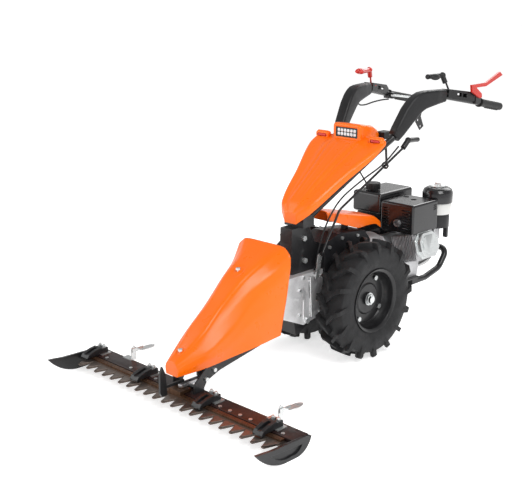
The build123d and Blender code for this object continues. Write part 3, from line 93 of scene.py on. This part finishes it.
HOOD_REAR_LOW = (-473, 206)
DIMPLE_DEPTH = 3.0
DIMPLE_WIDTH = 0.28          # share of the groove's radius
DIMPLE_REACH = 35.0          # only this far below the bolt's seat
FADE = 60.0                  # length over which a groove runs out
HOOD_GROOVE = (5, 4.5, 3.5)  # outside the top panel's edge, half width, depth
HOOD_GROOVE_ENDS = (-915, -470)
COWL_VALLEY = (7, 8, 6)      # outside the ridge's edge, half width, depth
COWL_LINE = (0.45, 4, 2)     # share of the ridge's half width, half width, depth
COWL_GROOVE_ENDS = (-250, 70)
HOOD_BOLTS = ((-880, 219, 13), (-577, 468, 20))          # y, seat, radius of the groove
HOOD = {                     # y: the left side's (x, z) from the low edge to the edge of the top panel
    -926: [(30, 135), (34, 150), (34, 166), (28, 180), (16, 186)],
    -882: [(44, 139), (52, 165), (52, 188), (42, 206), (22, 217)],
    -800: [(66, 148), (86, 190), (88, 224), (62, 258), (38, 284)],
    -700: [(92, 168), (104, 230), (96, 282), (64, 338), (36, 366)],
    -600: [(123, 190), (118, 290), (102, 362), (84, 408), (50, 450)],
    -500: [(127, 200), (134, 330), (127, 420), (114, 466), (66, 508)],
    -420: [(132, 209), (150, 380), (157, 490), (150, 532), (110, 560)],
}
COWL = {
    -283: [(31, 600), (31, 632), (28, 641), (18, 642), (11, 646)],
    -249: [(80, 645), (80, 672), (74, 681), (48, 682), (28, 692)],
    -100: [(132, 757), (132, 782), (123, 791), (80, 790), (46, 804)],
    28: [(180, 850), (180, 868), (167, 877), (108, 874), (63, 888)],
    98: [(181, 893), (181, 906), (168, 914), (108, 908), (63, 916)],
}
SADDLE = {
    -140: [(78, 600), (78, 622), (68, 635), (30, 637)],
    -60: [(78, 570), (78, 604), (68, 617), (30, 619)],
    5: [(78, 548), (78, 589), (68, 602), (30, 604)],
    60: [(78, 531), (78, 577), (68, 590), (30, 592)],
    120: [(78, 532), (78, 564), (68, 577), (30, 579)],
    178: [(78, 527), (78, 549), (68, 561), (30, 563)],
    212: [(78, 506), (78, 527), (68, 539), (30, 541)],
}
POD_ROWS = (                 # y, half width, low, high, corner radius
    (66, 58.5, 909.5, 950.5, 5), (62, 58.5, 909.5, 950.5, 5), (60.5, 61, 906, 954, 7), (60.5, 66, 899, 959, 10),
    (62, 71, 893, 963, 12), (66, 74, 890, 966, 13), (76, 75, 888, 966.5, 14), (110, 75, 888, 962, 16),
    (150, 74, 888, 955, 18), (185, 70, 888, 937, 18), (200, 64, 888, 926, 16), (205, 56, 888, 920, 12),
)
EAR_X = 144.0
LED_RINGS = ((62.9, 6.6), (61.4, 5.6), (60.9, 3.4))      # y, half width
LED_ROWS = 2
LED_COLUMNS = 6
LED_SPACING = 17.0
LED_LOW_ROW = 922.0
LED_ROW_SPACING = 16.0
LED_CORNER = 3.0
ROUND_STEP = 15              # degrees between the points of a round
EAR_ROWS = ((70, 26, 898, 912, 6), (69, 31, 896, 916, 8), (72, 34, 894, 920, 10), (80, 36, 892, 924, 12),
            (92, 34, 894, 921, 11), (98, 26, 900, 914, 6))
REFLECTOR_ROWS = ((70, 23, 900, 911, 4), (68.2, 22, 901, 910, 4), (67.6, 18, 903, 908, 2))

# ---- sky and floor ----
SKY_WHITE = 1.1              # light from the white band round the horizon
SKY_DIM = 0.45               # light from above it
SKY_BAND_TOP = 0.06          # sine of the height where the band starts to fade
SKY_DIM_FROM = 0.30
FLOOR_GLOW = 0.62            # the floor is white, as the photo's background is
FLOOR_SIZE = 60.0            # metres
FLOOR_GRAIN = 3.0
FLOOR_ROUGHNESS = 0.8

# ---- finishes ----
SHEEN = 0.3                  # mirror share of paint and plastic
COAT_ROUGHNESS = 0.12
METALLIC = 0.85
RELIEF_DISTANCE = 0.001      # metres
EDGE_WIDTH = 0.0012          # metres
EDGE_SEGMENTS = 2
EDGE_ANGLE = 35.0            # degrees
WELD_DISTANCE = 0.00001      # metres

# ---- knee covers and lever knobs, in millimetres ----
KNEE_MIDDLE = 176.5          # machine's middle to the cover's middle, at its middle along the machine
KNEE_MIDDLE_Y = 315.0
KNEE_FLARE = 12.5            # degrees that the handle tubes spread towards the rear
KNEE_CORNER = 11.0
KNEE_PAIRS = (               # upper and lower edge as (y, z), half width
    ((172, 926), (203, 894), 21), ((188, 952), (228, 916), 24), ((238, 1028), (286, 972), 25),
    ((268, 1060), (312, 996), 25), ((292, 1077), (328, 1008), 25), ((318, 1088), (346, 1017), 25),
    ((350, 1092), (366, 1022), 25), ((400, 1093), (402, 1030), 25), ((455, 1093), (455, 1040), 24),
)
KNOB_LENGTH = 60.0
KNOB_HALF = 15.0
KNOB_TALL = 14.0
KNOB_DROP = 15.0             # below the lever's top
KNOB_DROOP = 0.06            # more with the square of each step towards the rear
KNOB_STEPS = 8
KNOB_START = 0.6             # the ends' place in the half wave that swells the knob
KNOB_SPAN = 9.2
KNOB_FULLNESS = 0.6


def at(x, y, z):
    """Point in the row frame from millimetres measured from the floor below the axle."""
    return Vector((x * MM, AXLE_Y + y * MM, z * MM))


# ---- materials -----------------------------------------------------------------------------------
def new_material(name):
    """Material with its node tree and its shader."""
    material = bpy.data.materials.new(name)
    material.use_nodes = True
    tree = material.node_tree
    shader = next(node for node in tree.nodes if node.type == "BSDF_PRINCIPLED")
    return material, tree, shader


def link(tree, source, socket, target, target_socket):
    """Join two sockets by name or number."""
    tree.links.new(source.outputs[socket], target.inputs[target_socket])


def noise(tree, scale, detail=4.0, roughness=0.55, stretch=(1, 1, 1)):
    """Noise in the object's own coordinates, in metres."""
    coordinates = tree.nodes.new("ShaderNodeTexCoord")
    mapping = tree.nodes.new("ShaderNodeMapping")
    mapping.inputs["Scale"].default_value = stretch
    texture = tree.nodes.new("ShaderNodeTexNoise")
    texture.inputs["Scale"].default_value = scale
    texture.inputs["Detail"].default_value = detail
    texture.inputs["Roughness"].default_value = roughness
    link(tree, coordinates, "Object", mapping, "Vector")
    link(tree, mapping, "Vector", texture, "Vector")
    return texture


def ramp(tree, source, stops):
    """Colour ramp after a value."""
    node = tree.nodes.new("ShaderNodeValToRGB")
    elements = node.color_ramp.elements
    while len(elements) < len(stops):
        elements.new(0.5)
    for element, (place, colour) in zip(elements, stops):
        element.position = place
        element.color = (*colour, 1)
    link(tree, source, 0, node, 0)
    return node


def finish_surface(tree, shader, rough_low, rough_high, grain, bump, bump_scale, stretch=(1, 1, 1)):
    """Uneven roughness and a fine bump."""
    texture = noise(tree, grain, stretch=stretch)
    spread = tree.nodes.new("ShaderNodeMapRange")
    spread.inputs["From Min"].default_value = 0.3
    spread.inputs["From Max"].default_value = 0.7
    spread.inputs["To Min"].default_value = rough_low
    spread.inputs["To Max"].default_value = rough_high
    link(tree, texture, 0, spread, "Value")
    link(tree, spread, 0, shader, "Roughness")
    fine = noise(tree, bump_scale, detail=6.0, stretch=stretch)
    relief = tree.nodes.new("ShaderNodeBump")
    relief.inputs["Strength"].default_value = bump
    relief.inputs["Distance"].default_value = RELIEF_DISTANCE
    link(tree, fine, 0, relief, "Height")
    link(tree, relief, 0, shader, "Normal")


def paint(name, colour, rough=(0.25, 0.4), coat=0.0, bump=0.06, spread=0.12, grain=9.0):
    """Paint or moulded plastic whose colour and gloss drift a little."""
    material, tree, shader = new_material(name)
    drift = noise(tree, grain)
    darker = tuple(channel * (1 - spread) for channel in colour)
    lighter = tuple(min(1.0, channel * (1 + spread)) for channel in colour)
    link(tree, ramp(tree, drift, [(0.3, darker), (0.7, lighter)]), 0, shader, "Base Color")
    shader.inputs["Coat Weight"].default_value = coat
    shader.inputs["Coat Roughness"].default_value = COAT_ROUGHNESS
    shader.inputs["Specular IOR Level"].default_value = SHEEN
    finish_surface(tree, shader, *rough, 24.0, bump, 900.0)
    return material


def metal(name, colour, rough=(0.28, 0.5), bump=0.12, spread=0.16, stretch=(1, 1, 1), grain=16.0):
    """Bare or plated metal."""
    material, tree, shader = new_material(name)
    drift = noise(tree, grain, stretch=stretch)
    darker = tuple(channel * (1 - spread) for channel in colour)
    lighter = tuple(min(1.0, channel * (1 + spread)) for channel in colour)
    link(tree, ramp(tree, drift, [(0.3, darker), (0.7, lighter)]), 0, shader, "Base Color")
    shader.inputs["Metallic"].default_value = METALLIC
    finish_surface(tree, shader, *rough, 40.0, bump, 700.0, stretch)
    return material


MATERIALS = {
    "orange": paint("cover_orange", (0.93, 0.150, 0.002), (0.26, 0.36), 0.12, 0.015, 0.04, 3.0),
    "black": paint("frame_black", (0.012, 0.012, 0.013), (0.28, 0.45), 0.25, 0.08, 0.3),
    "black_gloss": paint("engine_black", (0.010, 0.010, 0.011), (0.16, 0.28), 0.5, 0.05, 0.3),
    "case_black": paint("case_black", (0.016, 0.016, 0.018), (0.35, 0.55), 0.1, 0.3, 0.3),
    "plastic": paint("black_plastic", (0.014, 0.014, 0.015), (0.35, 0.5), 0.0, 0.15, 0.25),
    "rubber": paint("tyre_rubber", (0.014, 0.014, 0.015), (0.55, 0.75), 0.0, 0.5, 0.3, 30.0),
    "grip": paint("grip_rubber", (0.012, 0.012, 0.012), (0.5, 0.65), 0.0, 0.3, 0.25),
    "beam": paint("beam_paint", (0.022, 0.010, 0.009), (0.3, 0.5), 0.2, 0.12, 0.5),
    "red": paint("red_plastic", (0.52, 0.02, 0.012), (0.2, 0.32), 0.4, 0.03, 0.08),
    "white_cast": metal("gearbox_cast", (0.80, 0.80, 0.81), (0.45, 0.65), 0.5, 0.08),
    "cast": metal("engine_cast", (0.55, 0.55, 0.56), (0.4, 0.6), 0.6, 0.15),
    "zinc": metal("zinc", (0.66, 0.68, 0.68), (0.24, 0.42), 0.15, 0.12),
    "steel": metal("machined_steel", (0.42, 0.42, 0.43), (0.22, 0.4), 0.1, 0.12, (1, 1, 12)),
    "blade": metal("blade_steel", (0.20, 0.165, 0.145), (0.25, 0.45), 0.2, 0.22, (14, 1, 1)),
    "comb": metal("comb_steel", (0.12, 0.095, 0.082), (0.3, 0.5), 0.2, 0.22, (1, 14, 1)),
    "bronze": metal("knife_back_bronze", (0.13, 0.070, 0.040), (0.3, 0.5), 0.15, 0.3, (6, 1, 1)),
    "white": paint("band_white", (0.62, 0.62, 0.60), (0.3, 0.4), 0.2, 0.03, 0.04),
    "lens": paint("lamp_lens", (0.70, 0.72, 0.74), (0.05, 0.15), 0.8, 0.02, 0.1, 60.0),
}

NODE_MATERIALS = {
    "orange": "front_hood upper_cowl saddle_cover",
    "black": "runner_shoes lever_brackets gear_rod hold_down_arms crop_divider cutter_carrier"
             " steering_column skid_plate rear_bumper handle_tube_left handle_tube_right rim_left"
             " rim_right hub_left hub_right",
    "black_gloss": "headlight fuel_tank engine_shroud recoil_starter muffler_shield air_filter_cap",
    "case_black": "transmission_case",
    "plastic": "switch_box knee_covers drive_lever control_cables fuel_cap",
    "rubber": "tyre_left tyre_right",
    "grip": "grips",
    "beam": "cutter_beam",
    "red": "throttle_lever clutch_lever",
    "white_cast": "gearbox_housing clutch_housing",
    "cast": "crankcase cylinder carburettor",
    "zinc": "bar_fittings chassis_bolts paddle_left paddle_right selector_lever hand_lever valve_cover",
    "steel": "drive_shaft knife_rocker layshaft_gear clutch_drum crankshaft piston flywheel muffler",
    "blade": "knife_blades",
    "comb": "lower_comb",
    "bronze": "knife_back",
    "white": "air_filter_base",
}


def dress(piece, material):
    """Material and soft edges."""
    piece.data.materials.clear()
    piece.data.materials.append(material)
    modifier = piece.modifiers.new("edge", "BEVEL")
    modifier.width = EDGE_WIDTH
    modifier.segments = EDGE_SEGMENTS
    modifier.limit_method = "ANGLE"
    modifier.angle_limit = math.radians(EDGE_ANGLE)


def weld(piece):
    """Join the doubled corners that a glTF mesh has, so that bevels work."""
    modifier = piece.modifiers.new("weld", "WELD")
    modifier.merge_threshold = WELD_DISTANCE


for key, names in NODE_MATERIALS.items():
    for name in names.split():
        weld(NODES[name])
        dress(NODES[name], MATERIALS[key])


# ---- parts of one node that have a finish of their own --------------------------------------------
def repaint(node, key, chosen):
    """Another finish for the faces of a node whose middle, in axle millimetres, is chosen."""
    piece = NODES[node]
    piece.data.materials.append(MATERIALS[key])
    last = len(piece.data.materials) - 1
    place = piece.matrix_world
    for polygon in piece.data.polygons:
        middle = place @ polygon.center
        if chosen(middle.x / MM, (middle.y - AXLE_Y) / MM, middle.z / MM):
            polygon.material_index = last


def from_axle(y, z):
    """Distance from the axle, seen from the side."""
    return math.hypot(y, z - WHEEL_RADIUS / MM)


for side in ("left", "right"):
    repaint("hub_" + side, "zinc",
            lambda x, y, z: ((abs(x) > DISC_FACE and from_axle(y, z) > HUB_CLEAR)
                             or (abs(x) > HUB_FACE and from_axle(y, z) < PIN_REACH)))
repaint("air_filter_base", "plastic", lambda x, y, z: z < BAND_LOW)
repaint("air_filter_cap", "zinc", lambda x, y, z: z > CAP_DISC_LOW)

# ---- covers: thin shells through cross-sections -----------------------------------------------------
def cubic(places, values, place):
    """Smooth value between the stations."""
    last = len(places) - 1
    index = max(0, min(last - 1, sum(1 for known in places[1:-1] if known <= place)))
    slopes = []
    for point in (index, index + 1):
        before, after = max(0, point - 1), min(last, point + 1)
        slopes.append((values[after] - values[before]) / (places[after] - places[before]))
    width = places[index + 1] - places[index]
    t = (place - places[index]) / width
    return ((1 + 2 * t) * (1 - t) ** 2 * values[index] + t * (1 - t) ** 2 * width * slopes[0]
            + t * t * (3 - 2 * t) * values[index + 1] + t * t * (t - 1) * width * slopes[1])


def cut_corners(points, share):
    """Round an open polyline by cutting its corners."""
    for _ in range(CORNER_ROUNDS):
        rounded = [points[0]]
        for start, end in zip(points, points[1:]):
            here, there = Vector(start), Vector(end)
            rounded += [tuple(here.lerp(there, share)), tuple(here.lerp(there, 1 - share))]
        points = rounded + [points[-1]]
    return points


def split_long(points, longest):
    """Count of parts for each stretch of a polyline, so that no part is longer than asked."""
    return [max(1, math.ceil((Vector(end) - Vector(start)).length / longest))
            for start, end in zip(points, points[1:])]


def sheet_mesh(name, rows, wall, key, closed=False, front_cap=False, rear_cap=False, body="chassis"):
    """Cover or closed body through rows of points in axle millimetres. Wall 0 adds no thickness."""
    width = len(rows[0])
    vertices = [at(*point) for row in rows for point in row]
    faces = []
    for row in range(len(rows) - 1):
        for column in range(width if closed else width - 1):
            following = (column + 1) % width
            faces.append((row * width + column, row * width + following,
                          (row + 1) * width + following, (row + 1) * width + column))
    if front_cap:
        faces.append(tuple(reversed(range(width))))
    if rear_cap:
        faces.append(tuple((len(rows) - 1) * width + column for column in range(width)))
    mesh = bpy.data.meshes.new(name)
    mesh.from_pydata(vertices, [], faces)
    piece = bpy.data.objects.new(name, mesh)
    bpy.context.scene.collection.objects.link(piece)
    mesh.materials.append(MATERIALS[key])
    for polygon in mesh.polygons:
        polygon.use_smooth = len(polygon.vertices) == 4
    if wall:
        modifier = piece.modifiers.new("wall", "SOLIDIFY")
        modifier.thickness = wall * MM
        modifier.offset = -1
        modifier.use_even_offset = False
    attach(piece, body)
    return piece


def outward(piece):
    """Turn a piece's faces outwards."""
    work = bmesh.new()
    work.from_mesh(piece.data)
    bmesh.ops.recalc_face_normals(work, faces=work.faces)
    work.to_mesh(piece.data)
    work.free()


def section_at(stations, place):
    """Left half of the cross-section at a place between the stations."""
    places = sorted(stations)
    return [tuple(cubic(places, [stations[known][point][axis] for known in places], place) for axis in (0, 1))
            for point in range(len(stations[places[0]]))]


def full_section(stations, place, share, parts=None):
    """Whole rounded cross-section, as (x, z), with its long stretches split."""
    half = section_at(stations, place)
    points = cut_corners(half + [(-x, z) for x, z in reversed(half)], share)
    parts = parts or split_long(points, FINEST)
    section = []
    for start, end, count in zip(points, points[1:], parts):
        section += [tuple(Vector(start).lerp(Vector(end), step / count)) for step in range(count)]
    return section + [points[-1]], parts


def cover_rows(stations, rows, share, rear=None, relief=None):
    """Rows of points along a cover. The rear place can depend on the height."""
    first, last = min(stations), max(stations)
    parts = full_section(stations, last, share)[1]
    columns = len(full_section(stations, last, share, parts)[0])
    table = [full_section(stations, first + (last - first) * row / rows, share, parts)[0]
             for row in range(rows + 1)]
    places = [first + (last - first) * row / rows for row in range(rows + 1)]
    result = []
    for row in range(rows + 1):
        line = []
        for column in range(columns):
            end = last
            if rear:
                for _ in range(REAR_PASSES):
                    end = rear(value_between(places, [known[column][1] for known in table], end))
            place = first + (end - first) * row / rows
            x = value_between(places, [known[column][0] for known in table], place)
            z = value_between(places, [known[column][1] for known in table], place)
            if relief:
                z -= relief(x, place, z)
            line.append((x, place, z))
        result.append(line)
    return result


def value_between(places, values, place):
    """Straight interpolation in an even table."""
    step = (places[-1] - places[0]) / (len(places) - 1)
    index = max(0, min(len(places) - 2, int((place - places[0]) / step)))
    t = (place - places[index]) / step
    return values[index] * (1 - t) + values[index + 1] * t


def hood_rear(z):
    """Slanted rear edge of the front hood."""
    t = max(0.0, min(1.0, (HOOD_REAR_TOP[1] - z) / (HOOD_REAR_TOP[1] - HOOD_REAR_LOW[1])))
    return HOOD_REAR_TOP[0] + (HOOD_REAR_LOW[0] - HOOD_REAR_TOP[0]) * t


def groove(away, width, depth):
    """Depth of a rounded groove at a distance from its middle."""
    return depth * math.exp(-(away / width) ** 2)


def faded(y, ends):
    """1 along a groove, running out to 0 at its two ends."""
    return max(0.0, min(1.0, (ends[1] - y) / FADE, (y - ends[0]) / FADE))


def hood_relief(x, y, z):
    """Round groove about each of the two bolts in the hood's top panel."""
    depth = 0.0
    for bolt_y, seat, radius in HOOD_BOLTS:
        if z > seat - DIMPLE_REACH:
            depth += groove(math.hypot(x, y - bolt_y) - radius, DIMPLE_WIDTH * radius, DIMPLE_DEPTH)
    return depth


def hood_grooves(x, y, z):
    """Bolt dimples, and a groove beside each edge of the top panel."""
    edge, _ = section_at(HOOD, y)[-1]
    outside, width, depth = HOOD_GROOVE
    return hood_relief(x, y, z) + faded(y, HOOD_GROOVE_ENDS) * groove(abs(x) - edge - outside, width, depth)


def cowl_grooves(x, y, _):
    """Valley beside the raised middle of the cowl."""
    ridge, _ = section_at(COWL, y)[-1]
    outside, valley_width, valley_depth = COWL_VALLEY
    share, line_width, line_depth = COWL_LINE
    return faded(y, COWL_GROOVE_ENDS) * (groove(abs(x) - ridge - outside, valley_width, valley_depth)
                                         + groove(abs(x) - ridge * share, line_width, line_depth))


hood = sheet_mesh("hood_shell", cover_rows(HOOD, HOOD_ROWS, HOOD_SHARE, hood_rear, hood_grooves),
                  COVER_WALL, "orange", front_cap=True)
cowl = sheet_mesh("cowl_shell", cover_rows(COWL, COWL_ROW_COUNT, COWL_SHARE, relief=cowl_grooves),
                  COVER_WALL, "orange", front_cap=True)
saddle = sheet_mesh("saddle_shell", cover_rows(SADDLE, SADDLE_ROW_COUNT, SADDLE_SHARE), COVER_WALL, "orange")


def rounded_box_row(y, half, low, high, radius):
    """Rounded rectangle across the machine."""
    radius = min(radius, half * 0.98, (high - low) * 0.49)
    row = []
    for centre_x, centre_z, start in ((half - radius, high - radius, 0), (radius - half, high - radius, 90),
                                      (radius - half, low + radius, 180), (half - radius, low + radius, 270)):
        for step in range(90 // ROUND_STEP + 1):
            angle = math.radians(start + ROUND_STEP * step)
            row.append((centre_x + radius * math.cos(angle), y, centre_z + radius * math.sin(angle)))
    return row


def shifted_rows(boxes, across):
    """Rounded rectangles, moved sideways."""
    return [[(across + x, y, z) for x, y, z in rounded_box_row(*box)] for box in boxes]


pod = sheet_mesh("lamp_pod", shifted_rows(POD_ROWS, 0), 0, "orange", closed=True, rear_cap=True)
for cover in (hood, cowl, saddle, pod):
    outward(cover)
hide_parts("front_hood")
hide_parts("upper_cowl")
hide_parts("upper_cowl")
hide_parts("saddle_cover")

# small lamps of the headlight, and the reflectors on the cowl's ears
for row in range(LED_ROWS):
    for column in range(LED_COLUMNS):
        x = (column - (LED_COLUMNS - 1) / 2) * LED_SPACING
        z = LED_LOW_ROW + row * LED_ROW_SPACING
        rings = shifted_rows([(y, half, z - half, z + half, LED_CORNER) for y, half in LED_RINGS], x)
        outward(sheet_mesh(f"led_{row}_{column}", rings, 0, "lens", closed=True, rear_cap=True))
for side, sign in (("left", 1), ("right", -1)):
    ear = sheet_mesh("ear_" + side, shifted_rows(EAR_ROWS, sign * EAR_X), 0, "orange",
                     closed=True, rear_cap=True)
    outward(ear)
    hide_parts("upper_cowl")
    outward(sheet_mesh("reflector_" + side, shifted_rows(REFLECTOR_ROWS, sign * EAR_X), 0, "red",
                       closed=True, rear_cap=True))


# ---- knee covers and lever knobs -----------------------------------------------------------------
def knee_row(top, bottom, half, sign):
    """Rounded section of a knee cover between its two edges, turned with the handle tube."""
    length = math.hypot(top[0] - bottom[0], top[1] - bottom[1])
    turn = math.radians(KNEE_FLARE)
    row = []
    for x, _, along in rounded_box_row(0, half, 0, length, KNEE_CORNER):
        y = bottom[0] + (top[0] - bottom[0]) * along / length - KNEE_MIDDLE_Y
        z = bottom[1] + (top[1] - bottom[1]) * along / length
        row.append((sign * (KNEE_MIDDLE + x * math.cos(turn) + y * math.sin(turn)),
                    KNEE_MIDDLE_Y - x * math.sin(turn) + y * math.cos(turn), z))
    return row


for side, sign in (("left", 1), ("right", -1)):
    knee = sheet_mesh("knee_" + side, [knee_row(*pair, sign) for pair in KNEE_PAIRS], 0, "plastic",
                      closed=True, front_cap=True, rear_cap=True)
    outward(knee)
    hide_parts("knee_covers")


def knob_row(x, y, z, swell):
    """Oval section of a knob."""
    angles = [math.radians(ROUND_STEP * step) for step in range(360 // ROUND_STEP)]
    return [(x + KNOB_HALF * swell * math.cos(angle), y, z + KNOB_TALL * swell * math.sin(angle))
            for angle in angles]


for side, key, lever, body in (("left", "plastic", "drive_lever", "drive_control"),
                               ("right", "red", "throttle_lever", "throttle_control")):
    low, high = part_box(lever)
    middle = (low.x + high.x) / 2 / MM
    front, top = (low.y - AXLE_Y) / MM, high.z / MM
    rows = []
    for step in range(KNOB_STEPS + 1):
        swell = math.sin(math.pi * (step + KNOB_START) / KNOB_SPAN) ** KNOB_FULLNESS
        rows.append(knob_row(middle, front + 1 + step * KNOB_LENGTH / KNOB_STEPS,
                             top - KNOB_DROP - KNOB_DROOP * step ** 2, swell))
    outward(sheet_mesh("knob_" + side, rows, 0, key, closed=True, front_cap=True, rear_cap=True, body=body))

# ---- camera, light and floor ---------------------------------------------------------------------
azimuth, elevation = math.radians(AZIMUTH), math.radians(ELEVATION)
back = Vector((math.sin(azimuth) * math.cos(elevation), -math.cos(azimuth) * math.cos(elevation),
               math.sin(elevation)))
camera_data = bpy.data.cameras.new("camera")
camera_data.lens = FOCAL_LENGTH
camera_data.sensor_width = SENSOR_WIDTH
camera = bpy.data.objects.new("camera", camera_data)
bpy.context.scene.collection.objects.link(camera)
camera.matrix_world = (Matrix.Translation(at(*[value / MM for value in CAMERA_PLACE]))
                       @ back.to_track_quat("Z", "Y").to_matrix().to_4x4()
                       @ Matrix.Rotation(math.radians(ROLL), 4, "Z"))
bpy.context.scene.camera = camera


def area_light(name, place, target, size, power):
    """Soft square light that faces a point."""
    data = bpy.data.lights.new(name, "AREA")
    data.size = size
    data.energy = power
    light = bpy.data.objects.new(name, data)
    bpy.context.scene.collection.objects.link(light)
    light.location = place
    light.rotation_euler = (Vector(place) - Vector(target)).to_track_quat("Z", "Y").to_euler()


area_light("key", (3.2, -1.2, 4.0), (0, 0, 0.4), 2.6, 150)
area_light("fill", (-3.5, -3.4, 2.6), (0, 0, 0.4), 3.2, 70)
area_light("rear", (-1.0, 3.6, 3.2), (0, 0, 0.6), 2.4, 60)

world = bpy.data.worlds.new("studio")
world.use_nodes = True
sky = world.node_tree
sky_place = sky.nodes.new("ShaderNodeTexCoord")
sky_height = sky.nodes.new("ShaderNodeSeparateXYZ")
link(sky, sky_place, "Generated", sky_height, 0)
sky_spread = sky.nodes.new("ShaderNodeMapRange")
for socket, value in (("From Min", SKY_BAND_TOP), ("From Max", SKY_DIM_FROM),
                      ("To Min", SKY_WHITE), ("To Max", SKY_DIM)):
    sky_spread.inputs[socket].default_value = value
link(sky, sky_height, "Z", sky_spread, "Value")
link(sky, sky_spread, 0, sky.nodes["Background"], 1)
sky.nodes["Background"].inputs[0].default_value = (1, 1, 1, 1)
bpy.context.scene.world = world

bpy.ops.mesh.primitive_plane_add(size=FLOOR_SIZE, location=(0, 0, 0))
floor = bpy.context.object
floor.name = "floor"
floor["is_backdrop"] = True
floor_material, floor_tree, floor_shader = new_material("floor_pale")
floor_drift = ramp(floor_tree, noise(floor_tree, FLOOR_GRAIN), [(0.3, (0.82,) * 3), (0.7, (0.86,) * 3)])
link(floor_tree, floor_drift, 0, floor_shader, "Base Color")
floor_shader.inputs["Roughness"].default_value = FLOOR_ROUGHNESS
floor_shader.inputs["Emission Color"].default_value = (1, 1, 1, 1)
floor_shader.inputs["Emission Strength"].default_value = FLOOR_GLOW
floor.data.materials.append(floor_material)

bpy.context.scene.view_settings.view_transform = "Standard"

low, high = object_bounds()
